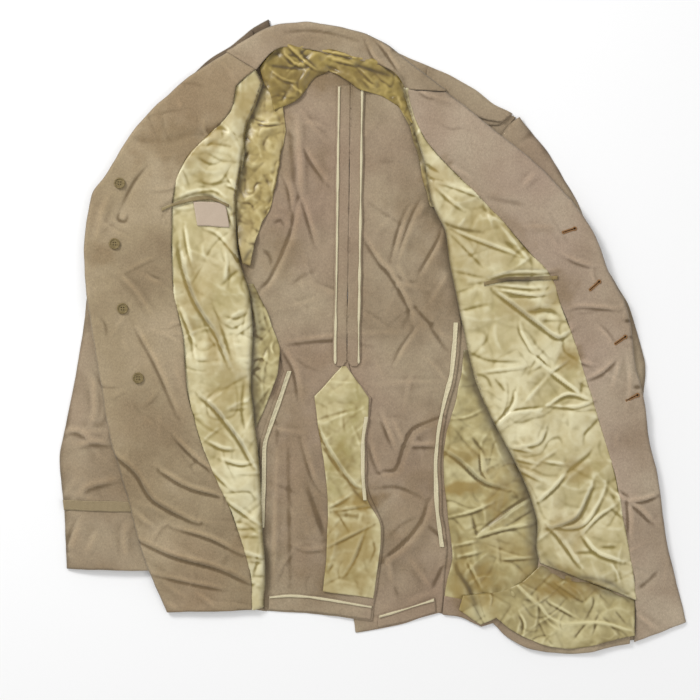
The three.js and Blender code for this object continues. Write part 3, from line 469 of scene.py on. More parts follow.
CREASES = {
    # no creases listed for these two
    "left_sleeve": [],
    "left_armhole": [],
    "right_front": [
        # the khaki front and its facing
        ("valley", 4, 2.2, (-306, 232), (-325, 208), (-343, 172)),
        ("valley", 3, 1.8, (-343, 170), (-345, 160), (-335, 157), (-332, 166)),
        ("swell", 9, 1.6, (-355, 195), (-368, 165), (-374, 130)),
        ("ridge", 6, 1.8, (-345, 88), (-318, 60), (-297, 28)),
        ("fold", 8, 2.0, (-320, 15), (-290, -40), (-262, -105)),
        ("ridge", 5, 0.9, (-268, -35), (-255, -80)),
        ("ridge", 5, 0.9, (-290, -100), (-289, -140)),
        ("fold", 7, 5.2, (-349, -157), (-318, -185), (-295, -220), (-250, -245), (-235, -250)),
        ("fold", 5, 3.2, (-268, -135), (-240, -163), (-218, -180), (-192, -205)),
        ("fold", 6, 4.2, (-287, -180), (-250, -202), (-203, -215)),
        ("ridge", 4, 2.4, (-322, -236), (-310, -247), (-298, -256)),
        ("ridge", 4, 1.2, (-330, -220), (-300, -230), (-270, -240)),
        ("fold", 5, 3.4, (-270, -257), (-220, -272), (-180, -292), (-160, -298)),
        ("fold", 7, 5.0, (-318, -273), (-270, -295), (-210, -312), (-165, -333)),
        ("fold", 5, 2.8, (-300, -320), (-250, -332), (-200, -342)),
        ("ridge", 5, 2.0, (-285, -330), (-270, -343), (-255, -352)),
        ("ridge", 5, 2.0, (-240, -347), (-225, -357), (-212, -367)),
        ("ridge", 5, 1.4, (-280, -360), (-265, -370)),
        ("dip", 12, 1.6, (-330, 270), (-290, 265), (-250, 275), (-205, 285)),
        ("ridge", 4, 0.9, (-265, 325), (-258, 308)),
        # the satin above the pocket
        ("valley", 3, 1.8, (-237, 258), (-215, 262), (-190, 258)),
        ("valley", 3, 1.8, (-240, 245), (-220, 235), (-205, 238)),
        ("valley", 3, 1.6, (-225, 250), (-205, 240), (-185, 238)),
        ("valley", 3, 1.8, (-240, 212), (-220, 208), (-195, 212)),
        ("valley", 3, 1.6, (-238, 205), (-225, 203), (-215, 198)),
        ("dip", 9, 2.0, (-234, 270), (-205, 285), (-200, 262)),
        ("fold", 4, 2.4, (-268, 188), (-240, 198), (-215, 200), (-200, 190)),
        ("fold", 3, 2.6, (-198, 207), (-190, 204), (-184, 200)),
        ("fold", 3, 2.6, (-195, 215), (-189, 207), (-184, 200)),
        ("valley", 3, 2.8, (-175, 275), (-172, 262), (-177, 250), (-180, 228), (-184, 200)),
        ("valley", 3, 2.0, (-184, 200), (-185, 190), (-185, 180)),
        # the satin beside and below the label
        ("fold", 5, 3.0, (-215, 190), (-200, 178), (-190, 155)),
        ("fold", 4, 2.6, (-228, 148), (-210, 140), (-190, 118), (-180, 105)),
        ("valley", 3, 2.2, (-193, 118), (-187, 109), (-182, 100)),
        ("valley", 3, 2.2, (-186, 115), (-182, 100)),
        ("valley", 4, 3.4, (-158, 130), (-168, 115), (-178, 98)),
        ("valley", 3, 1.8, (-160, 122), (-150, 95), (-163, 72)),
        ("fold", 6, 4.0, (-262, 125), (-255, 90), (-243, 55), (-228, 28), (-212, 5), (-193, -40)),
        ("fold", 4, 2.4, (-255, 150), (-250, 120), (-245, 100)),
        ("fold", 5, 2.8, (-262, 45), (-245, 0), (-240, -32)),
        ("valley", 3, 2.0, (-250, 0), (-235, -18)),
        ("valley", 2.5, 1.4, (-240, -15), (-239, -32), (-206, -31)),
        ("valley", 4, 2.6, (-220, 45), (-208, 20), (-192, -30)),
        ("valley", 4, 2.6, (-205, 70), (-190, 85), (-180, 92)),
        ("valley", 3, 2.0, (-200, 28), (-185, 25), (-172, 32)),
        ("valley", 3, 2.0, (-205, 20), (-190, 12), (-175, 20)),
        ("ridge", 3, 1.6, (-188, -10), (-178, -12)),
        ("fold", 6, 4.2, (-235, -78), (-215, -95), (-195, -120), (-180, -140), (-160, -175)),
        ("valley", 4, 2.4, (-175, -60), (-178, -100), (-172, -130)),
        ("valley", 3, 1.8, (-195, -100), (-170, -98)),
        ("fold", 5, 3.0, (-225, -140), (-205, -150), (-190, -152)),
        ("fold", 5, 2.6, (-205, -165), (-180, -172), (-165, -170)),
        ("valley", 3, 2.0, (-202, -212), (-170, -210), (-160, -220)),
        ("fold", 5, 3.0, (-197, -222), (-180, -235), (-153, -255)),
        ("valley", 3, 1.8, (-185, -262), (-155, -260)),
        ("valley", 3, 1.8, (-180, -272), (-152, -272)),
        ("fold", 4, 2.0, (-178, -290), (-148, -300)),
        ("valley", 3, 1.6, (-168, -305), (-147, -308)),
        ("valley", 3, 1.6, (-163, -325), (-146, -325)),
        ("ridge", 3, 1.4, (-162, -340), (-153, -335)),
    ],
    "right_sleeve": [
        ("fold", 5, 2.2, (-420, -130), (-400, -128), (-378, -145)),
        ("fold", 5, 2.6, (-400, -148), (-380, -143), (-358, -145)),
        ("ridge", 4, 1.2, (-395, -128), (-365, -128)),
        ("fold", 6, 2.2, (-398, -215), (-385, -203), (-345, -193)),
        ("swell", 6, 1.4, (-380, -60), (-378, -100), (-385, -120)),
        ("ridge", 4, 1.4, (-405, -222), (-408, -235), (-403, -242)),
        ("fold", 6, 2.0, (-400, -250), (-415, -290)),
        ("ridge", 5, 1.6, (-375, -265), (-390, -295)),
        ("ridge", 5, 1.6, (-335, -250), (-338, -275), (-335, -300)),
    ],
    "left_front": [
        # the khaki front and its facing
        ("ridge", 4, 1.2, (100, 235), (128, 220), (135, 212)),
        ("fold", 4, 1.8, (62, 337), (75, 328), (93, 324)),
        ("ridge", 5, 1.4, (172, 276), (188, 298)),
        ("ridge", 5, 1.4, (205, 252), (217, 272)),
        ("valley", 4, 1.6, (100, 345), (113, 330), (120, 320)),
        ("swell", 7, 1.6, (205, 206), (222, 224)),
        ("ridge", 5, 1.2, (205, 150), (245, 150)),
        ("dip", 8, 1.2, (150, 190), (205, 180)),
        ("fold", 5, 2.0, (262, 110), (280, 102), (300, 96)),
        ("fold", 4, 2.0, (265, 38), (285, 42), (335, 38)),
        ("valley", 3, 2.2, (342, 22), (352, 22)),
        ("valley", 3, 2.2, (347, 0), (357, 0)),
        ("valley", 3, 2.2, (355, -68), (366, -68)),
        ("fold", 5, 2.2, (280, -32), (300, -38)),
        ("fold", 5, 2.4, (290, -57), (310, -48), (330, -30)),
        ("ridge", 5, 1.6, (325, -70), (337, -25)),
        ("ridge", 5, 1.4, (345, -20), (350, -60), (345, -100)),
        ("fold", 5, 3.6, (348, -222), (366, -221), (385, -215)),
        ("fold", 5, 3.4, (348, -222), (350, -246), (350, -270)),
        ("fold", 5, 2.4, (348, -222), (330, -210)),
        ("fold", 6, 3.4, (348, -222), (365, -235), (380, -250)),
        ("valley", 6, 3.0, (388, -318), (375, -332), (362, -342)),
        ("ridge", 5, 1.8, (358, -375), (388, -398)),
        # the satin above the pocket
        ("valley", 3, 2.0, (65, 240), (92, 222)),
        ("fold", 4, 2.6, (86, 210), (105, 206), (148, 190)),
        ("fold", 4, 2.4, (86, 205), (108, 184), (125, 172)),
        ("valley", 3, 2.2, (70, 225), (86, 210)),
        ("ridge", 4, 1.8, (126, 162), (117, 150)),
        ("valley", 4, 3.0, (92, 158), (115, 148), (150, 142)),
        ("fold", 4, 2.8, (105, 150), (130, 137), (180, 118), (200, 110)),
        ("valley", 3, 2.2, (105, 140), (135, 110), (150, 95)),
        ("ridge", 4, 2.0, (170, 155), (200, 120), (212, 107)),
        ("valley", 3, 2.0, (180, 130), (205, 108)),
        ("valley", 3, 2.0, (110, 90), (140, 83), (155, 80)),
        ("valley", 3, 1.8, (125, 70), (158, 76)),
        ("valley", 3, 1.8, (115, 60), (140, 70)),
        ("fold", 4, 3.0, (158, 80), (185, 87), (225, 88), (248, 90)),
        # the satin below the pocket
        ("fold", 4, 2.6, (160, 72), (210, 67), (235, 68)),
        ("fold", 4, 2.6, (170, 65), (215, 57), (240, 60)),
        ("valley", 3, 1.8, (180, 55), (235, 55)),
        ("fold", 6, 4.4, (165, 65), (205, 34), (230, 15), (252, 0), (268, 8)),
        ("dip", 7, 2.8, (205, 33), (240, 36), (262, 22)),
        ("valley", 3, 2.0, (232, 22), (260, 22)),
        ("valley", 3, 1.6, (118, 35), (145, 42), (160, 45)),
        ("fold", 4, 2.2, (200, 20), (203, 5), (218, -22)),
        ("valley", 4, 3.0, (258, -5), (262, -20), (280, -32)),
        ("fold", 4, 2.6, (243, -47), (230, -35), (218, -25)),
        ("fold", 4, 2.6, (243, -47), (255, -39), (265, -32)),
        ("fold", 5, 3.6, (243, -47), (255, -57), (282, -77)),
        ("ridge", 4, 2.4, (243, -47), (230, -62), (205, -90)),
        ("valley", 3, 2.0, (285, -60), (282, -78)),
        ("fold", 5, 3.4, (235, -95), (265, -78), (298, -85)),
        ("fold", 4, 3.0, (240, -93), (275, -95), (300, -87)),
        ("fold", 5, 2.8, (232, -97), (190, -103), (175, -115)),
        ("fold", 5, 3.2, (195, -75), (190, -95), (168, -120)),
        ("valley", 3, 2.0, (130, -20), (160, -32), (200, -33)),
        ("valley", 3, 1.8, (140, -50), (155, -55), (162, -68)),
        ("fold", 4, 2.0, (150, -48), (210, -40)),
        ("valley", 3, 1.8, (165, -55), (182, -75)),
        ("fold", 5, 2.8, (195, -150), (225, -143), (235, -125)),
        ("fold", 4, 2.6, (190, -150), (215, -155)),
        ("fold", 4, 2.6, (195, -165), (225, -172)),
        ("fold", 4, 2.6, (200, -180), (230, -195)),
        ("fold", 4, 2.4, (230, -168), (262, -173)),
        ("valley", 4, 3.0, (262, -185), (290, -163), (300, -150)),
        ("valley", 3, 2.2, (285, -135), (308, -110)),
        ("fold", 5, 3.6, (226, -222), (245, -205), (262, -185)),
        ("fold", 6, 4.2, (240, -258), (262, -252), (280, -240), (298, -200)),
        ("fold", 5, 3.0, (240, -258), (285, -255), (312, -215), (318, -195)),
        ("fold", 4, 2.8, (283, -268), (305, -245), (330, -228)),
        ("valley", 3, 2.0, (322, -232), (342, -248)),
        ("valley", 3, 2.0, (325, -215), (333, -232)),
        ("fold", 6, 3.8, (285, -268), (305, -292), (340, -305)),
        ("valley", 3, 2.2, (275, -293), (310, -292)),
        ("valley", 3, 2.2, (310, -285), (330, -285)),
        ("fold", 6, 4.2, (240, -258), (255, -272), (282, -310)),
    ],
    "back": [
        # between the armholes
        ("swell", 8, 3.0, (-103, 300), (-98, 230), (-97, 200)),
        ("valley", 5, 1.4, (-114, 296), (-110, 240), (-108, 205)),
        ("fold", 5, 2.4, (-93, 262), (-80, 238), (-60, 210)),
        ("ridge", 4, 1.0, (-95, 293), (-80, 292), (-67, 286)),
        ("ridge", 5, 1.4, (-118, 300), (-105, 273)),
        ("fold", 5, 2.0, (-122, 225), (-112, 200), (-107, 165)),
        ("fold", 6, 2.0, (-98, 195), (-90, 175), (-75, 125)),
        ("fold", 7, 3.8, (-100, 185), (-110, 135), (-135, 80), (-150, 63)),
        ("valley", 3, 1.8, (-135, 155), (-125, 160), (-120, 152)),
        ("valley", 4, 2.0, (-150, 120), (-140, 110), (-138, 95)),
        ("ridge", 3, 0.8, (-150, 37), (-100, 45), (-52, 62)),
        ("ridge", 4, 1.3, (-125, -8), (-50, 3), (50, 8)),
        ("dip", 5, 1.2, (-120, -10), (-50, -5), (0, -13)),
        ("fold", 6, 2.2, (-122, -13), (-105, -45), (-97, -90)),
        # the left half
        ("fold", 6, 2.4, (-12, 140), (10, 105), (25, 88), (50, 45), (55, 20)),
        ("fold", 6, 2.2, (50, 175), (40, 150), (28, 105)),
        ("fold", 6, 2.2, (70, 190), (55, 160), (35, 105)),
        ("ridge", 4, 1.4, (33, 100), (50, 70)),
        ("ridge", 4, 1.6, (75, 185), (62, 165)),
        ("fold", 6, 2.6, (97, 150), (92, 130), (65, 83)),
        ("ridge", 5, 1.8, (105, 90), (78, 45)),
        ("valley", 4, 2.2, (57, 42), (75, 22), (85, 17)),
        ("valley", 4, 1.8, (75, 22), (95, -10), (105, -20)),
        ("fold", 5, 1.8, (65, 18), (42, -15), (30, -38)),
        ("ridge", 3, 0.9, (15, -60), (95, -61)),
        ("ridge", 3, 0.9, (-5, -25), (-18, -40)),
        ("ridge", 3, 0.9, (3, -30), (18, -60)),
        ("fold", 7, 4.6, (97, -112), (60, -128), (48, -148), (35, -183), (15, -187)),
        ("fold", 5, 2.4, (50, -147), (90, -147)),
        ("fold", 5, 2.0, (12, -105), (30, -150)),
        ("ridge", 5, 1.6, (28, -112), (43, -145)),
        ("fold", 5, 1.8, (-3, -140), (3, -165), (12, -187)),
        ("valley", 4, 1.6, (0, -207), (35, -205), (75, -223)),
        ("fold", 8, 4.6, (80, -225), (70, -255), (45, -285), (20, -305)),
        ("valley", 5, 2.2, (70, -253), (85, -265), (108, -287)),
        ("ridge", 5, 1.6, (20, -300), (27, -335)),
        ("ridge", 5, 1.8, (50, -300), (78, -340)),
        ("valley", 5, 2.2, (100, -305), (80, -345)),
        ("ridge", 4, 1.4, (50, -360), (88, -345)),
        # the right half below the waist
        ("ridge", 4, 1.4, (-140, -120), (-115, -128), (-90, -130)),
        ("ridge", 7, 2.4, (-130, -150), (-133, -250), (-135, -345)),
        ("valley", 6, 2.2, (-115, -140), (-112, -340)),
        ("fold", 6, 2.0, (-95, -140), (-80, -190), (-65, -215)),
        ("dip", 9, 2.4, (-90, -200), (-65, -275)),
        ("fold", 5, 1.8, (-108, -283), (-90, -290), (-65, -288)),
    ],
    "vent": [
        ("fold", 5, 4.0, (-75, -118), (-60, -150), (-28, -197), (-15, -205)),
        ("fold", 4, 2.6, (-70, -142), (-38, -190)),
        ("valley", 5, 3.4, (-30, -203), (-10, -225), (8, -238)),
        ("fold", 4, 2.8, (-60, -232), (-45, -225), (-30, -215)),
        ("fold", 4, 3.0, (-50, -235), (5, -228)),
        ("dip", 8, 2.4, (-55, -240), (-15, -245)),
        ("fold", 4, 3.0, (-60, -285), (-30, -270), (0, -255)),
        ("fold", 5, 2.6, (-40, -325), (-25, -300), (-10, -260)),
        ("valley", 4, 2.0, (0, -275), (3, -290), (-5, -310)),
        ("valley", 3, 1.8, (-60, -320), (-52, -308)),
        ("ridge", 3, 1.4, (-68, -180), (-62, -195)),
        ("valley", 4, 2.4, (-48, -240), (-30, -268)),
    ],
    "yoke": [
        ("valley", 4, 3.6, (-140, 370), (-105, 366), (-83, 368)),
        ("fold", 4, 3.4, (-115, 397), (-95, 378), (-78, 365), (-68, 362)),
        ("valley", 4, 3.4, (-100, 393), (-90, 380), (-72, 362)),
        ("fold", 4, 2.8, (-120, 385), (-105, 372), (-95, 370)),
        ("ridge", 4, 3.0, (-97, 350), (-90, 360), (-83, 370)),
        ("fold", 4, 2.6, (-135, 360), (-120, 350), (-105, 347)),
        ("ridge", 4, 2.2, (-110, 343), (-95, 332)),
        ("valley", 3, 2.4, (-125, 335), (-118, 333), (-122, 325), (-128, 322)),
        ("valley", 4, 3.2, (-65, 370), (-50, 365), (-40, 358)),
        ("dip", 7, 3.0, (-90, 340), (-60, 364), (-45, 355)),
        ("fold", 4, 3.0, (-70, 390), (-45, 385), (-22, 380)),
        ("fold", 4, 2.8, (-55, 378), (-30, 372), (-22, 370)),
        ("valley", 5, 3.8, (-28, 373), (0, 363), (28, 355)),
        ("fold", 4, 2.8, (-20, 368), (-10, 358), (0, 348)),
        ("fold", 4, 3.0, (15, 372), (25, 365), (38, 355)),
        ("ridge", 4, 2.4, (-15, 352), (5, 338)),
    ],
    "collar": [
        ("dip", 5, 1.4, (-118, 415), (-85, 417), (-50, 412), (-20, 403)),
        ("fold", 4, 2.2, (-8, 403), (5, 378), (30, 360)),
        ("fold", 4, 2.4, (5, 405), (18, 390), (38, 360)),
        ("ridge", 4, 1.6, (18, 395), (28, 385)),
    ],
    "right_armhole": [
        ("ridge", 3, 2.0, (-185, 345), (-182, 325), (-190, 310), (-192, 300)),
        ("valley", 5, 4.2, (-150, 345), (-155, 325), (-165, 295)),
        ("fold", 4, 3.0, (-180, 332), (-165, 340), (-152, 342)),
        ("fold", 4, 2.8, (-185, 318), (-158, 325)),
        ("valley", 4, 3.0, (-170, 310), (-160, 297), (-140, 290)),
        ("valley", 4, 3.0, (-152, 345), (-135, 335), (-125, 330)),
        ("fold", 4, 2.6, (-160, 295), (-145, 290), (-125, 292)),
        ("ridge", 2.5, 1.8, (-125, 250), (-135, 205), (-138, 185), (-150, 165), (-152, 150)),
        ("valley", 4, 3.0, (-122, 300), (-120, 280), (-127, 235), (-137, 190), (-153, 150)),
    ],
    "right_side": [
        ("fold", 4, 2.6, (-165, 60), (-160, 30), (-155, 0)),
        ("valley", 4, 3.0, (-168, 5), (-155, 0), (-148, -5)),
        ("fold", 4, 2.4, (-165, -30), (-150, -28), (-140, -35)),
        ("valley", 4, 2.4, (-165, -45), (-150, -42)),
        ("ridge", 3, 1.8, (-132, -55), (-145, -90), (-160, -120)),
    ],
    "left_side": [
        ("fold", 6, 4.8, (90, -148), (120, -168), (150, -195), (185, -207)),
        ("valley", 4, 2.6, (135, -135), (150, -155)),
        ("fold", 4, 2.6, (148, -155), (150, -180), (158, -195)),
        ("fold", 4, 2.4, (105, -245), (135, -238), (165, -225)),
        ("valley", 3, 2.2, (135, -240), (142, -270)),
        ("fold", 5, 4.0, (215, -220), (190, -235), (145, -268)),
        ("fold", 5, 3.6, (142, -272), (175, -262), (215, -255)),
        ("valley", 3, 2.4, (175, -262), (220, -235)),
        ("fold", 4, 2.2, (110, -285), (140, -278)),
        ("fold", 4, 2.2, (115, -300), (145, -293)),
        ("fold", 4, 2.2, (175, -303), (220, -300)),
        ("valley", 6, 4.6, (110, -305), (120, -325), (135, -350), (147, -390)),
        ("fold", 4, 2.6, (130, -305), (150, -345)),
        ("dip", 9, 3.0, (148, -340), (165, -370), (170, -345)),
    ],
    "left_hem_lining": [
        ("valley", 7, 4.0, (225, -295), (250, -321), (270, -332), (300, -335), (325, -342), (355, -365)),
        ("ridge", 6, 4.4, (178, -315), (210, -350), (228, -365), (240, -380), (260, -390)),
        ("ridge", 6, 4.0, (260, -390), (310, -388), (345, -397), (358, -400)),
        ("valley", 4, 2.6, (230, -330), (265, -355)),
        ("fold", 4, 2.4, (250, -335), (280, -355)),
        ("valley", 4, 2.6, (300, -350), (300, -365), (290, -385)),
        ("fold", 4, 2.4, (240, -360), (275, -380)),
        ("valley", 3, 2.0, (330, -372), (345, -390)),
        ("valley", 5, 3.2, (225, -385), (235, -405), (245, -420)),
        ("valley", 4, 2.6, (275, -410), (290, -390)),
        ("fold", 4, 2.4, (200, -375), (207, -390), (205, -405)),
    ],
}


# ---------- stains and painted shade, in millimetres -------
# Each row: the middle's x and y, how far it reaches across and up, and how strong it is.

# Some rows are the cloth's own stains. Others are painted shade, as on the collar, on the right lapel and
# in the scoop of the lower left lining.
STAINS_AND_SHADE = [
    (-368, 110, 20, 14, 0.45),
    (-172, 322, 22, 24, 0.55),
    (-216, 272, 18, 16, 0.6),
    (-30, -285, 34, 46, 0.62),
    (-12, -222, 30, 16, 0.85),
    (-60, -330, 16, 24, 0.4),
    (125, -205, 30, 9, 0.8),
    (122, -330, 16, 40, 0.6),
    (240, -330, 36, 18, 0.5),
    (-60, 352, 70, 16, 0.6),
    (-248, 60, 14, 46, 0.5),
    (-215, -10, 12, 40, 0.5),
    (270, -28, 16, 16, 0.7),
    (280, -180, 24, 14, 0.5),
    (265, -262, 26, 22, 0.5),
    (200, 40, 34, 12, 0.4),
    (120, -160, 34, 14, 0.5),
    (-105, -200, 30, 110, 0.3),
    (60, -240, 36, 60, 0.3),
    (-180, -300, 14, 50, 0.35),
    (262, -342, 38, 14, 0.85),
    (150, -335, 22, 34, 0.6),
    (-60, 408, 90, 12, 0.28),
    (-235, 320, 60, 40, 0.25),
    (205, -175, 20, 30, 0.4),
    (-210, -110, 14, 60, 0.3),
    (160, 150, 60, 10, 0.3),
    (-180, 120, 16, 40, 0.45),
    (-118, 250, 10, 60, 0.35),
    (-72, 235, 12, 30, 0.25),
    (-120, 110, 22, 26, 0.35),
    (55, 175, 26, 18, 0.25),
    (80, 60, 26, 40, 0.22),
    (90, -130, 18, 20, 0.35),
    (-60, -30, 70, 12, 0.2),
    (-225, 330, 70, 50, 0.3),
    (-320, -200, 60, 90, 0.15),
    (-250, -330, 60, 30, 0.25),
    (-130, 345, 20, 24, 0.5),
    (-40, -170, 12, 20, 0.4),
    (170, -210, 16, 40, 0.55),
    (180, -290, 44, 16, 0.4),
    (130, 130, 60, 46, 0.32),
    (90, 215, 20, 20, 0.5),
    (250, 60, 20, 24, 0.45),
    (-225, 60, 20, 60, 0.3),
    (-195, -60, 20, 40, 0.35),
    (-261, 261, 44, 36, 0.5),
    (-30, -310, 26, 34, 0.5),
]

# ---------- lines of painted deep shade, in the cloth's deepest folds, in millimetres ------------
# Each row: the line's width, how dark it is, then the points that it runs through.

PAINTED_SHADE_LINES = [
    (4.5, 1.0, (162, 79), (198, 77), (235, 82)),
    (2.0, 0.5, (150, 80), (205, 92), (250, 88)),
    (2.2, 0.75, (-288, 176), (-268, 186), (-232, 194), (-203, 185), (-192, 175)),
    (3.0, 0.8, (-150, 345), (-155, 325), (-165, 295)),
    (3.0, 0.8, (-175, 275), (-172, 262), (-177, 250), (-180, 228), (-184, 200), (-185, 180)),
    (3.0, 0.7, (-158, 130), (-168, 115), (-178, 98)),
    (2.5, 0.6, (-262, 125), (-255, 90), (-243, 55), (-228, 28), (-212, 5), (-193, -40)),
    (2.5, 0.6, (-235, -78), (-215, -95), (-195, -120), (-180, -140), (-160, -175)),
    (3.0, 0.7, (-28, 373), (0, 363), (28, 355)),
    (3.0, 0.6, (-140, 370), (-105, 366), (-83, 368)),
    (2.5, 0.6, (-100, 393), (-90, 380), (-72, 362)),
    (3.5, 0.9, (38, 360), (42, 345), (48, 320), (55, 295)),
    (2.5, 0.5, (92, 158), (115, 148), (150, 142)),
    (2.0, 0.45, (165, 65), (205, 34), (230, 15), (252, 0), (268, 8)),
    (2.5, 0.5, (90, -148), (120, -168), (150, -195), (185, -207)),
    (2.5, 0.5, (145, -268), (190, -235), (215, -220)),
    (4.5, 0.8, (110, -305), (120, -325), (135, -350), (147, -390)),
    (4.0, 0.8, (225, -290), (250, -315), (270, -325), (300, -328), (325, -335), (355, -358)),
    (2.5, 0.5, (-30, -203), (-10, -225), (8, -238)),
    (2.0, 0.45, (-75, -118), (-60, -150), (-28, -197), (-15, -205)),
    (2.5, 0.5, (240, -258), (262, -252), (280, -240), (298, -200)),
    (2.5, 0.4, (97, -112), (60, -128), (48, -148), (35, -183), (15, -187)),
    (2.5, 0.35, (-349, -157), (-318, -185), (-295, -220), (-250, -245)),
    (2.5, 0.35, (-318, -273), (-270, -295), (-210, -312), (-165, -333)),
    (2.5, 0.4, (342, 22), (352, 22)),
    (2.5, 0.4, (355, -68), (366, -68)),
]


# ---------- building a cloth piece ----------

surfaces = {}
outlines = {}


def new_mesh(name, points, faces):
    """A smooth mesh from points in millimetres."""
    mesh = bpy.data.meshes.new(name)
    mesh.from_pydata((points * MM).tolist(), [], faces)
    mesh.polygons.foreach_set("use_smooth", [True] * len(mesh.polygons))
    return mesh


def cloth_mesh(name, xy, triangles, top, thickness, **shades):
    """A closed shell: the cloth's upper face, the same face a thickness lower, and its edge."""
    count = len(xy)
    upper = np.column_stack([xy, top])
    lower = np.column_stack([xy, top - thickness])
    faces = triangles.tolist() + (triangles[:, ::-1] + count).tolist()
    faces += [[b, a, a + count, b + count] for a, b in rim_edges(triangles)]
    mesh = new_mesh(name, np.vstack([upper, lower]), faces)
    for shade, values in shades.items():
        attribute = mesh.attributes.new(shade, "FLOAT", "POINT")
        attribute.data.foreach_set("value", np.concatenate([values, values]))
    return mesh


def hollows(top, triangles):
    """How far each point lies below (under 0.5) or above (over 0.5) what is round it."""
    rise = top - neighbour_mean(top, triangles, HOLLOW_ROUNDS)
    return np.clip(0.5 + neighbour_mean(rise, triangles, 1) * HOLLOW_GAIN, 0, 1)


def add_piece(name, mesh, material, *nodes):
    """Puts a piece in the scene, on the jacket's one body, in place of its CAD nodes."""
    piece = bpy.data.objects.new(name, mesh)
    bpy.context.scene.collection.objects.link(piece)
    piece.data.materials.append(MATERIALS[material])
    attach(piece, "root")
    if nodes:
        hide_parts(*nodes)


def facing_share(rim, dx, dy):
    """How far each point of a rim faces that way, from 0 to 1. With no direction, all of it does."""
    size = math.hypot(dx, dy)
    if not size:
        return np.ones(len(rim))
    share = np.clip((outward(rim) @ np.array([dx, dy]) / size - FACING_FROM) / FACING_SPAN, 0, 1)
    for _ in range(FACING_ROUNDS):
        share = 0.5 * share + 0.25 * (np.roll(share, 1) + np.roll(share, -1))
    return share


def tucked(rim, spread, tucks):
    """A rim moved outward all round, then by each (direction x, y, reach) where it faces that way."""
    moved = rim + outward(rim) * spread
    for dx, dy, reach in tucks:
        direction = np.array([dx, dy]) / math.hypot(dx, dy)
        moved = moved + direction * (facing_share(rim, dx, dy) * reach)[:, None]
    return moved


def rolled(xy, loops, rolls):
    """How far edges turn down. Each roll is (direction x, y, radius, drop) for edges that face that way."""
    down = np.zeros(len(xy))
    gap, which = nearest(xy, loops[0])
    for dx, dy, radius, drop in rolls:
        weight = facing_share(loops[0], dx, dy)
        depth = np.clip(1 - gap / radius, 0, 1)
        down = np.maximum(down, weight[which] * drop * (1 - np.sqrt(np.maximum(1 - depth ** 2, 0))))
    return down


def grime_beside(xy, node, reach, strength):
    """Painted shadow beside the edge of a piece that lies on this one."""
    points, triangles = upper_faces(node)
    rim = evenly(points[rims(triangles)[0]][:, :2], BESIDE_STEP, closed=True)
    ragged = np.clip(1 + 0.5 * waves(xy, *BESIDE_NOISE), 0.3, 2)
    return strength * np.exp(-(nearest(xy, rim)[0] / (reach * ragged)) ** 2)


def panel(node, material, thickness=TWILL, spacing=3.0, creases="", rolls=(), spread=0.0, tucks=(),
          wave=(0.8, 70), crumple=(), wrinkle=(), strewn=(0, 0.0), over=(), lift=0.0, edge=EDGE_ROLL,
          beside=(), core=(0, 0), wobble=0.8):
    """Replaces a CAD cloth node with a detailed shell on the same form.

    creases names rows of CREASES, rolls has rolled's rows, and lift raises the whole piece. wobble, spread
    and tucks shape the outline: spread and tucks move it outward, under the neighbours, or inward where
    they are negative. wave is (height, length), crumple has facets' (size, height) rows,
    wrinkle has wrinkles' (size, width, depth) rows, and strewn is small_creases' (count, height). over
    names the pieces that this one lies on, and beside has (node, reach, strength) rows of painted shadow
    beside the edge of a piece that lies on this one. core is how wide a binding's bright edge is, and how
    dark the painted shade on the cloth between its edges is.
    """
    spacing *= COARSE
    points, triangles = upper_faces(node)
    loops = [points[rim][:, :2] for rim in rims(triangles)]
    loops[0] = tucked(soft_outline(loops[0], spacing, wobble), spread, tucks)
    outlines[node] = loops
    xy, triangles = filled(loops, spacing)
    own = sum(ord(letter) for letter in node)
    top = cad_height(node, xy) + lift
    for row in CREASES[creases] if creases else ():
        top += crease_lift(xy, *row)
    amount, length = wave
    top += amount * waves(xy, length, own)
    for size, height in crumple:
        top += height * facets(xy, size, own + int(size))
    for size, width, depth in wrinkle:
        top += depth * wrinkles(xy, size, width, own + int(size))
    top += small_creases(xy, *strewn, own)
    top = neighbour_mean(top, triangles, 1)
    # the materials paint shade into the hollows and highlight onto the crests from this
    hollow = hollows(top, triangles)
    turned = rolled(xy, loops, rolls)
    # painted shade: darker where a free edge turns down, and along the lines of painted deep shade
    grime = np.maximum(np.clip(turned * ROLL_SHADE_GAIN, 0, ROLL_SHADE_MOST), grime_lines(xy))
    # painted shade in a binding's middle, between its edges, which also lies a little lower
    bright, dark = core
    if dark:
        within = np.clip(nearest(xy, loops[0])[0] - bright, 0, 1)
        grime = np.maximum(grime, dark * within)
        top -= CORE_DIP * within
    # painted shadow beside the edge of each piece that lies on this one, where the cloth also dips
    for row in beside:
        beside_shadow = grime_beside(xy, *row)
        grime = np.maximum(grime, beside_shadow)
        top -= DIP_BESIDE * beside_shadow
    top -= np.maximum(turned, rolled(xy, loops, [(0, 0, *edge)]))
    for below in over:
        top = np.maximum(top, drop_onto(surfaces[below], xy, -1e9) + thickness + LIFT)
    top = np.maximum(top, thickness)
    surfaces[node] = tree_of(np.column_stack([xy, top]), triangles)
    mesh = cloth_mesh(node, xy, triangles, top, thickness, hollow=hollow, soil=soil(xy), grime=grime)
    add_piece(f"{node}_cloth", mesh, material, node)


# ---------- the area inside a rim -----------------------


def rim_area(rim):
    """The area inside a rim, in square millimetres."""
    x, y = rim[:, 0], rim[:, 1]
    return 0.5 * abs(np.dot(x, np.roll(y, -1)) - np.dot(y, np.roll(x, -1)))


# ---------- materials ----------


def rgba(colour):
    """A linear colour from a hex code, a grey from one number, or three numbers as they are."""
    if isinstance(colour, float):
        return [colour] * 3 + [1.0]
    if not isinstance(colour, str):
        return [*colour, 1.0]
    channels = [int(colour[at:at + 2], 16) / 255 for at in (0, 2, 4)]
    return [c / 12.92 if c <= 0.04045 else ((c + 0.055) / 1.055) ** 2.4 for c in channels] + [1.0]


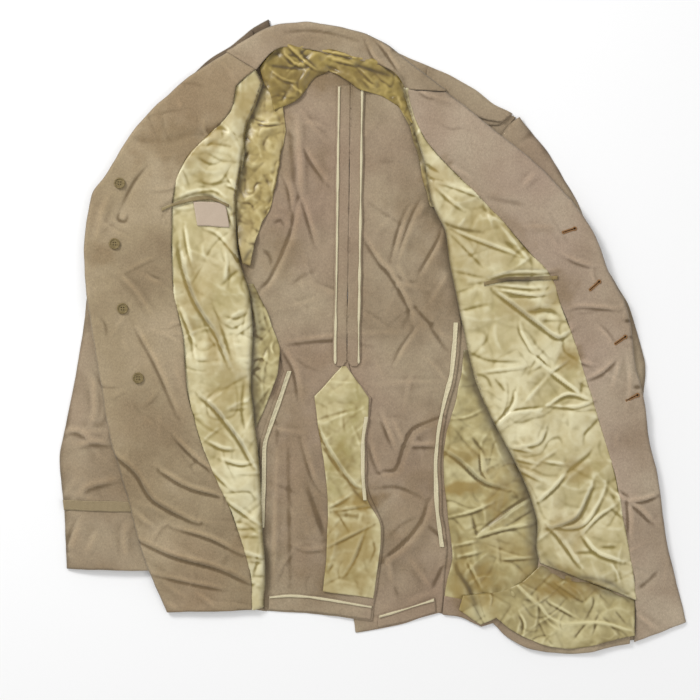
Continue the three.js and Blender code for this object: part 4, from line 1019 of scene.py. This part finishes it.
class Look:
    """A material that is being made: nodes that end in one Principled shader."""

    def __init__(self, name):
        self.material = bpy.data.materials.new(name)
        self.material.use_nodes = True
        self.nodes = self.material.node_tree.nodes
        self.links = self.material.node_tree.links
        self.nodes.clear()
        output = self.nodes.new("ShaderNodeOutputMaterial")
        self.shader = self.nodes.new("ShaderNodeBsdfPrincipled")
        self.links.new(self.shader.outputs[0], output.inputs[0])

    def feed(self, node, inputs):
        """Links each named input to another node, or sets its own value."""
        for name, value in inputs.items():
            if isinstance(value, bpy.types.NodeSocket):
                self.links.new(value, node.inputs[name])
            else:
                node.inputs[name].default_value = value

    def add(self, kind, output, inputs, **settings):
        """A new node, by the output of that name."""
        node = self.nodes.new(f"ShaderNode{kind}")
        for name, value in settings.items():
            setattr(node, name, value)
        self.feed(node, inputs)
        return node.outputs[output]

    def place(self, turn=0.0, scale=(1, 1, 1)):
        """Object coordinates, turned about Z by degrees, and stretched."""
        inputs = {"Vector": self.add("TexCoord", "Object", {}), "Rotation": (0, 0, math.radians(turn))}
        return self.add("Mapping", "Vector", {**inputs, "Scale": scale})

    def noise(self, place, scale, detail=3.0, rough=0.5):
        """Noise with about that many waves to the metre."""
        inputs = {"Vector": place, "Scale": scale, "Detail": detail, "Roughness": rough}
        return self.add("TexNoise", "Fac", inputs)

    def ribs(self, turn, period, distortion):
        """Ribs a period apart, in metres. The Wave texture has 20 / (2 pi) bands to its unit."""
        inputs = {"Vector": self.place(turn), "Scale": 2 * math.pi / (20 * period)}
        return self.add("TexWave", "Fac", {**inputs, "Distortion": distortion}, bands_direction="X")

    def mesh_shade(self, name):
        """A value that cloth_mesh wrote on the mesh: the hollows, the stains with painted shade, or the
        painted deep shade.
        """
        return self.add("Attribute", "Fac", {}, attribute_name=name)

    def ramp(self, value, *stops):
        """A colour for each value, from (value, colour) stops."""
        node = self.nodes.new("ShaderNodeValToRGB")
        elements = node.color_ramp.elements
        while len(elements) < len(stops):
            elements.new(0.5)
        for element, (at, colour) in zip(elements, stops):
            element.position = at
            element.color = rgba(colour)
        self.feed(node, {"Fac": value})
        return node.outputs["Color"]

    def mix(self, share, first, second, blend="MIX"):
        """The first colour with that share of the second mixed into it."""
        inputs = {"Factor": share, "A": first, "B": second}
        return self.add("Mix", "Result", inputs, data_type="RGBA", blend_type=blend)

    def add_stains_and_shade(self, colour, soiled):
        """The colour with the piece's stains and painted shade over it, then its painted deep shade."""
        colour = self.mix(self.mesh_shade("soil"), colour, rgba(soiled))
        return self.mix(self.mesh_shade("grime"), colour, rgba(PAINTED_SHADE_COLOUR))

    def bump(self, height, strength, distance, **below):
        """Bump in metres, over another normal if one is given."""
        inputs = {"Strength": strength, "Distance": distance, "Height": height}
        return self.add("Bump", "Normal", {**inputs, **below})

    def finish(self, colour, normal, surface):
        """Feeds the shader. Its uniform values go straight on its own inputs."""
        self.feed(self.shader, {"Base Color": colour, "Normal": normal, **surface})
        return self.material


# the colour of the painted deep shade
PAINTED_SHADE_COLOUR = "4c3f26"


def twill(name, base, light, shade, tint, soiled="7f694a"):
    """Matt worsted twill: diagonal ribs, a soft nap and clouds of uneven colour."""
    look = Look(name)
    place = look.place()
    clouds = look.noise(place, 9.0, 4.0, 0.55)
    colour = look.ramp(clouds, (0.34, shade), (0.5, base), (0.66, light))
    patches = look.noise(look.place(40), 4.5)
    colour = look.mix(look.ramp(patches, (0.45, 0.0), (0.7, 0.75)), colour, rgba(tint))
    # painted shade in the cloth's hollows and painted highlight on its crests
    hollow = look.ramp(look.mesh_shade("hollow"),
                       (0.08, (0.5, 0.46, 0.4)), (0.47, 1.0), (0.9, (1.2, 1.18, 1.16)))
    colour = look.add_stains_and_shade(look.mix(1.0, colour, hollow, "MULTIPLY"), soiled)
    grains = look.noise(place, 330.0, 4.0, 0.7)
    colour = look.mix(1.0, colour, look.ramp(grains, (0.3, 0.87), (0.7, 1.1)), "MULTIPLY")
    threads = look.noise(look.place(0, (1, 0.3, 1)), 1400.0, 2.0)
    colour = look.mix(1.0, colour, look.ramp(threads, (0.3, 0.86), (0.7, 1.08)), "MULTIPLY")
    ribs = look.bump(look.ribs(58, 0.0009, 0.6), 0.25, 0.0003)
    normal = look.bump(threads, 0.3, 0.0004, Normal=ribs)
    nap = {"Sheen Weight": 0.18, "Sheen Roughness": 0.5}
    return look.finish(colour, normal, {"Roughness": 0.88, "Specular IOR Level": 0.25, **nap})


def satin(name, base, light, shade, fold, soiled="8f7430"):
    """Acetate satin: a glossy face with faint cross threads, painted golden shade in its folds and painted
    highlight on its crests.
    """
    look = Look(name)
    clouds = look.noise(look.place(), 14.0, 4.0, 0.6)
    colour = look.ramp(clouds, (0.32, shade), (0.5, base), (0.7, light))
    hollow = look.mesh_shade("hollow")
    # painted shade: the dark fold colour in the hollows
    colour = look.mix(look.ramp(hollow, (0.05, 0.9), (0.49, 0.0)), colour, rgba(fold))
    # painted highlight: the light colour on the crests
    colour = look.mix(look.ramp(hollow, (0.53, 0.0), (0.9, 0.9)), colour, rgba(light))
    colour = look.add_stains_and_shade(colour, soiled)
    threads = look.noise(look.place(0, (1, 0.12, 1)), 2200.0, 2.0)
    wrinkle = look.noise(look.place(30, (1, 0.5, 1)), 120.0, 4.0, 0.55)
    normal = look.bump(wrinkle, 0.35, 0.0009, Normal=look.bump(threads, 0.12, 0.0002))
    gloss = {"Roughness": 0.42, "Specular IOR Level": 0.6}
    return look.finish(colour, normal, {"Sheen Weight": 0.25, "Sheen Roughness": 0.35, **gloss})


def ribbed(name, base, shade, period, turn, strength=0.5):
    """A narrow woven tape or braid with ribs across it."""
    look = Look(name)
    grain = look.noise(look.place(), 900.0)
    height = look.add("Math", 0, {0: look.ribs(turn, period, 0.8), 1: grain}, operation="ADD")
    half = look.add("Math", 0, {0: height, 1: 0.5}, operation="MULTIPLY")
    # the colour darkens into the grooves between the ribs as painted shade, and varies with the grain
    colour = look.ramp(half, (0.2, shade), (0.7, base))
    normal = look.bump(height, strength, 0.0004)
    return look.finish(colour, normal, {"Roughness": 0.6, "Sheen Weight": 0.2})


def plastic(name, base, shade):
    """Pressed button plastic with a faint marbling."""
    look = Look(name)
    marbling = look.noise(look.place(20, (1, 2.2, 1)), 220.0, 5.0, 0.6)
    scuffs = look.bump(look.noise(look.place(), 1600.0), 0.15, 0.0002)
    return look.finish(look.ramp(marbling, (0.35, shade), (0.65, base)), scuffs, {"Roughness": 0.42})


# Each row: the material's name, then hex colours, and for a ribbed one its period in metres, turn and
# strength, all in the order that its maker names them.
MATERIALS = {
    "khaki": twill("khaki_twill", "9a8970", "a6967c", "8a785f", "9a8370"),
    "khaki_right": twill("front_twill", "9b8a6d", "a8977b", "8a785d", "988166"),
    # the left facing: a pinker khaki, its pinkness its own and its extra lightness painted light
    "khaki_left": twill("pinker_twill_painted_lighter", "a4927c", "b0a089", "927f68", "a58f7e"),
    # the right shoulder and strap lie in deep shade: the khaki darkened with painted shade
    "dark": twill("twill_in_painted_shade", "5a4d3e", "6a5b49", "463b2f", "54473c"),
    "satin": satin("lining_satin", "c2b588", "ded6b0", "ad9f6c", "7a6a28"),
    "satin_side": satin("side_satin", "a89a68", "cfc596", "8c7c4a", "5f4e1c"),
    "satin_vent": satin("vent_satin", "bdb082", "d8cfa4", "a3965f", "745d20"),
    "armhole": satin("armhole_satin", "a8955c", "cbbc88", "8c773e", "5a4618", "8c7440"),
    # the pockets' jets: the satin darkened with painted shade, for the shadow in the pockets' mouths
    "pocket": satin("pocket_satin_in_painted_shade", "7f6d45", "a3936a", "625331", "43361b"),
    "yoke": satin("yoke_satin", "8d7939", "b8a25f", "77632a", "4c3a14", "76602a"),
    "tape": ribbed("binding_tape", "ddd3b2", "b8ab84", 0.0011, 90),
    "braid": ribbed("cuff_braid", "a2906c", "7a6949", 0.0016, 0, 0.9),
    "label": ribbed("label_weave", "bfad99", "ad9a84", 0.0007, 90, 0.3),
    "thread": ribbed("buttonhole_thread", "a5743c", "6d4a22", 0.0009, 0, 0.6),
    "button": plastic("button_plastic", "87764f", "665630"),
}

# ---------- the jacket ----------

SIDES = {"right": -1, "left": 1}  # the wearer's, with the sign of X there
BACKS = ["back_right", "back_left"]
BACK_TUCK = 3.5  # how far the back runs on under the linings at its side seams
SEAM_RUN = 22.0  # how far the centre seam's allowances and tapes run on under the vent's lining
HOLE_LEAST = 4.0  # square millimetres: a hole smaller than this isn't a buttonhole
HOLE_ROOM = 2.5  # how far out from a hole the cloth's height is taken
THREAD = 1.05  # the radius of a buttonhole's stitches
THREAD_LIFT = 0.1
THREAD_SIDES = 8
STITCH = 1.1  # from one stitch to the next
STITCH_STEP = 0.35  # between the rings of a stitch's mesh
SATIN_CRUMPLE = {"crumple": [(60, 3.0), (30, 1.7), (15, 0.45)], "wrinkle": [(52, 2.0, 1.0)]}
YOKE_CRUMPLE = {"crumple": [(34, 2.8), (17, 1.6), (9, 0.4)], "wrinkle": [(30, 2.4, 1.6)]}


def build_sleeves():
    """Each sleeve lies flat: its upper half over its lower half."""
    for side in SIDES:
        panel(f"undersleeve_{side}", "khaki", spacing=7, wave=(0, 70), edge=NO_ROLL)
        panel(f"topsleeve_{side}", "khaki", spacing=3.4, creases=f"{side}_sleeve", wave=(1.0, 60),
              strewn=(40, 1.0), rolls=[(-1, 0, 7, 3), (1, 0, 7, 3)])


def build_back():
    """The back and sides from the inside, with the centre seam, the bindings, the vent and the hem."""
    for side, out in SIDES.items():
        panel(f"side_body_{side}", "khaki", spacing=4, wave=(0.4, 60), spread=1.5, edge=NO_ROLL,
              tucks=[(0, 1, 8), (1, 0, 2), (-1, 0, 2)])
        panel(f"back_{side}", "khaki", spacing=2.6, creases="back", wave=(0.9, 55), strewn=(70, 1.1),
              spread=0.4, edge=NO_ROLL, over=[f"side_body_{side}"], tucks=[(out, 0, BACK_TUCK)],
              beside=[(f"lining_front_{side}", 9, 0.6)])
    allowances = []
    for side in SIDES:
        allowance = f"allowance_center_{side}"
        panel(allowance, "khaki", spacing=2.0, wave=(0.1, 40), strewn=(8, 0.4), spread=0.6,
              tucks=[(0, -1, SEAM_RUN)], edge=NO_ROLL, over=[*BACKS, *allowances])
        allowances.append(allowance)
        panel(f"tape_center_{side}", "tape", BINDING, 1.0, spread=-1.2, tucks=[(0, -1, SEAM_RUN)],
              wave=(0.25, 12), over=[allowance, *BACKS])
        panel(f"tape_side_{side}", "tape", BINDING, 1.0, spread=0.3, wave=(0.5, 12), core=(1.5, 0.5),
              over=[f"side_body_{side}", f"back_{side}"])
    panel("vent_lining", "satin_vent", SATIN, 1.7, creases="vent", wave=(0.8, 45), strewn=(24, 1.2),
          crumple=[(40, 1.8), (20, 1.0), (10, 0.3)],
          over=[*BACKS, *allowances, "tape_center_right", "tape_center_left"])
    panel("tape_vent", "tape", BINDING, 1.0, wave=(0.3, 12), core=(1.4, 0.45),
          over=["vent_lining", "back_left"])
    for side in SIDES:
        panel(f"hem_{side}", "khaki", spacing=2.0, wave=(0.4, 26), strewn=(8, 0.5), over=BACKS)
        panel(f"tape_hem_{side}", "tape", BINDING, 1.0, spread=-1.0, wave=(0.4, 12), over=[f"hem_{side}"])


def build_back_linings():
    """The satin over the top of the back, round the armholes and down the sides."""
    for side in SIDES:
        panel(f"lining_armhole_{side}", "armhole", SATIN, 1.5, creases=f"{side}_armhole", wave=(1.6, 34),
              lift=1.6, over=[f"back_{side}"], wobble=2.4, beside=[(f"lining_front_{side}", 7, 0.7)],
              **YOKE_CRUMPLE)
        panel(f"lining_side_{side}", "satin_side", SATIN, 1.8, creases=f"{side}_side", wave=(1.4, 40),
              lift=1.2, strewn=(30, 1.6), beside=[(f"lining_front_{side}", 11, 0.85)],
              over=[f"side_body_{side}", f"back_{side}"], **SATIN_CRUMPLE)
    panel("lining_yoke", "yoke", SATIN, 1.4, creases="yoke", wave=(1.6, 30), tucks=[(0, 1, 5)], wobble=2.4,
          over=[*BACKS, "lining_armhole_right", "lining_armhole_left"], **YOKE_CRUMPLE)


def build_neck():
    """The collar's leaf, and the shoulders and straps beside it. The right two take khaki in painted shade.
    """
    for side in SIDES:
        cloth = "dark" if side == "right" else "khaki"
        panel(f"shoulder_{side}", cloth, spacing=4, wave=(0.5, 50), spread=0.8)
        panel(f"strap_{side}", cloth, TURNED, 2.4, wave=(0.2, 50), over=[f"shoulder_{side}"])
    panel("collar_leaf", "khaki", TURNED, 5, wave=(0, 50), spread=-2.0)


def build_fronts():
    """Both fronts opened out, with their facings and linings, and the collar's stand between them."""
    for side, out in SIDES.items():
        creases = f"{side}_front"
        panel(f"lapel_{side}", "khaki", TURNED, 5, wave=(0, 50), spread=-2.0)
        panel(f"front_{side}", "khaki", spacing=5, lift=-1.6, spread=-1.4)
        panel(f"facing_{side}", f"khaki_{side}", spacing=2.3, creases=creases, strewn=(90, 1.1),
              rolls=[(out, 0.5, 5, 4.0)], spread=0.3)
        panel(f"lining_front_{side}", "satin", SATIN, 1.9, creases=creases, wave=(1.2, 60), spread=1.2,
              rolls=[(-out, 0, 9, 8.0), (out, 0, 2.0, 1.4)], strewn=(90, 1.5), over=[f"front_{side}"],
              **SATIN_CRUMPLE)
    panel("collar_stand", "khaki", spacing=2.0, creases="collar", wave=(0.8, 42), strewn=(14, 0.8),
          rolls=[(0, 1, 6, 5.5)], spread=2.0, edge=NO_ROLL)
    panel("hem_front_left", "khaki", spacing=2.0, wave=(0.6, 40), strewn=(16, 0.8), spread=0.3)
    panel("lining_lower_left", "satin_side", SATIN, 1.5, creases="left_hem_lining", wave=(1.4, 40),
          strewn=(40, 1.8), spread=1.0, rolls=[(1, 1, 4, 2.5)], over=["hem_front_left"],
          beside=[("lining_front_left", 9, 0.7)], **SATIN_CRUMPLE)


def build_trim():
    """The label, the inside pockets' edges and the cuff braids."""
    panel("label", "label", BINDING, 1.3, wave=(0.3, 20), over=["lining_front_right"])
    panel("pocket_jet_right", "pocket", spacing=1.2, wave=(0.5, 16), crumple=[(9, 0.5)], spread=-1.0,
          over=["lining_front_right", "facing_right", "label"])
    panel("pocket_jet_left", "pocket", spacing=1.2, wave=(0.6, 16), crumple=[(9, 0.6)], spread=-1.0,
          over=["lining_front_left", "facing_left"])
    for side in SIDES:
        panel(f"cuff_braid_{side}", "braid", BINDING, 1.4, wave=(0, 20), over=[f"topsleeve_{side}"])


def thread_ring(name, loop, height):
    """Buttonhole stitches: a cord round a slit, thicker at each stitch."""
    rim = evenly(loop, STITCH_STEP, closed=True)[:-1]
    rim = rim + outward(rim) * THREAD * 0.5
    thick = THREAD * (0.8 + 0.2 * np.cos(2 * math.pi * np.arange(len(rim)) * STITCH_STEP / STITCH))
    points = []
    for (x, y), (nx, ny), radius in zip(rim, outward(rim), thick):
        for side in range(THREAD_SIDES):
            angle = 2 * math.pi * side / THREAD_SIDES
            reach = radius * math.cos(angle)
            points.append((x + nx * reach, y + ny * reach, height + radius * math.sin(angle)))
    faces = []
    for at in range(len(rim)):
        here = at * THREAD_SIDES
        after = (at + 1) % len(rim) * THREAD_SIDES
        for side in range(THREAD_SIDES):
            beside = (side + 1) % THREAD_SIDES
            faces.append([here + side, here + beside, after + beside, after + side])
    add_piece(name, new_mesh(name, np.array(points), faces), "thread")


def build_buttonholes():
    """Stitches round each slit in the left facing."""
    for number, loop in enumerate(outlines["facing_left"][1:], start=1):
        if rim_area(loop) < HOLE_LEAST:
            continue
        around = drop_onto(surfaces["facing_left"], tucked(loop[::-1], HOLE_ROOM, []), 0)
        thread_ring(f"buttonhole_thread_{number}", loop[::-1], float(np.median(around)) + THREAD_LIFT)


def finish_buttons():
    """The CAD buttons have their true shape, so they only take their material."""
    for name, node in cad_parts.items():
        if "button" in name:
            node.data.materials.clear()
            node.data.materials.append(MATERIALS["button"])


build_sleeves()
build_back()
build_back_linings()
build_neck()
build_fronts()
build_trim()
build_buttonholes()
finish_buttons()

# ---------- floor, light and camera, in metres ----------

FLOOR_HALF = 6.0
FLOOR_GREY = 0.92
WORLD_LIGHT = 0.66
VIEW_WIDTH = 0.952
VIEW_MIDDLE = (-0.0304, -0.0175)  # so the jacket shows a little right of and above it
CAMERA_DISTANCE = 2.4  # above the cloth
CLOTH_HEIGHT = 0.008
SENSOR = 36.0  # millimetres


def build_stage():
    """A pale paper floor."""
    mesh = bpy.data.meshes.new("floor")
    corners = [(x * FLOOR_HALF, y * FLOOR_HALF, 0) for x, y in ((-1, -1), (1, -1), (1, 1), (-1, 1))]
    mesh.from_pydata(corners, [], [(0, 1, 2, 3)])
    floor = bpy.data.objects.new("floor", mesh)
    bpy.context.scene.collection.objects.link(floor)
    paper = Look("floor_paper")
    paper.feed(paper.shader, {"Base Color": rgba(FLOOR_GREY), "Roughness": 0.9})
    floor.data.materials.append(paper.material)


def area_light(name, place, size, power):
    """A soft light that faces the middle of the floor. size is (width, height), and power is in watts."""
    light = bpy.data.lights.new(name, "AREA")
    light.shape = "RECTANGLE"
    light.size, light.size_y = size
    light.energy = power
    lamp = bpy.data.objects.new(name, light)
    lamp.location = place
    lamp.rotation_euler = (-Vector(place)).to_track_quat("-Z", "Y").to_euler()
    bpy.context.scene.collection.objects.link(lamp)


def build_light():
    """A key light from the upper left, a weak fill, and a white sky."""
    area_light("key", (-1.7, 1.7, 1.5), (0.9, 0.7), 52)
    area_light("fill", (1.8, -0.6, 2.2), (1.6, 1.6), 10)
    world = bpy.data.worlds.new("studio")
    world.use_nodes = True
    background = world.node_tree.nodes["Background"]
    background.inputs["Color"].default_value = (1.0, 1.0, 1.0, 1)
    background.inputs["Strength"].default_value = WORLD_LIGHT
    bpy.context.scene.world = world
    bpy.context.scene.view_settings.view_transform = "Standard"


def build_camera():
    """Straight above, as the jacket was shown."""
    data = bpy.data.cameras.new("camera")
    data.sensor_width = SENSOR
    data.lens = SENSOR * CAMERA_DISTANCE / VIEW_WIDTH
    camera = bpy.data.objects.new("camera", data)
    camera.location = (*VIEW_MIDDLE, CAMERA_DISTANCE + CLOTH_HEIGHT)
    bpy.context.scene.collection.objects.link(camera)
    bpy.context.scene.camera = camera


build_stage()
build_light()
build_camera()
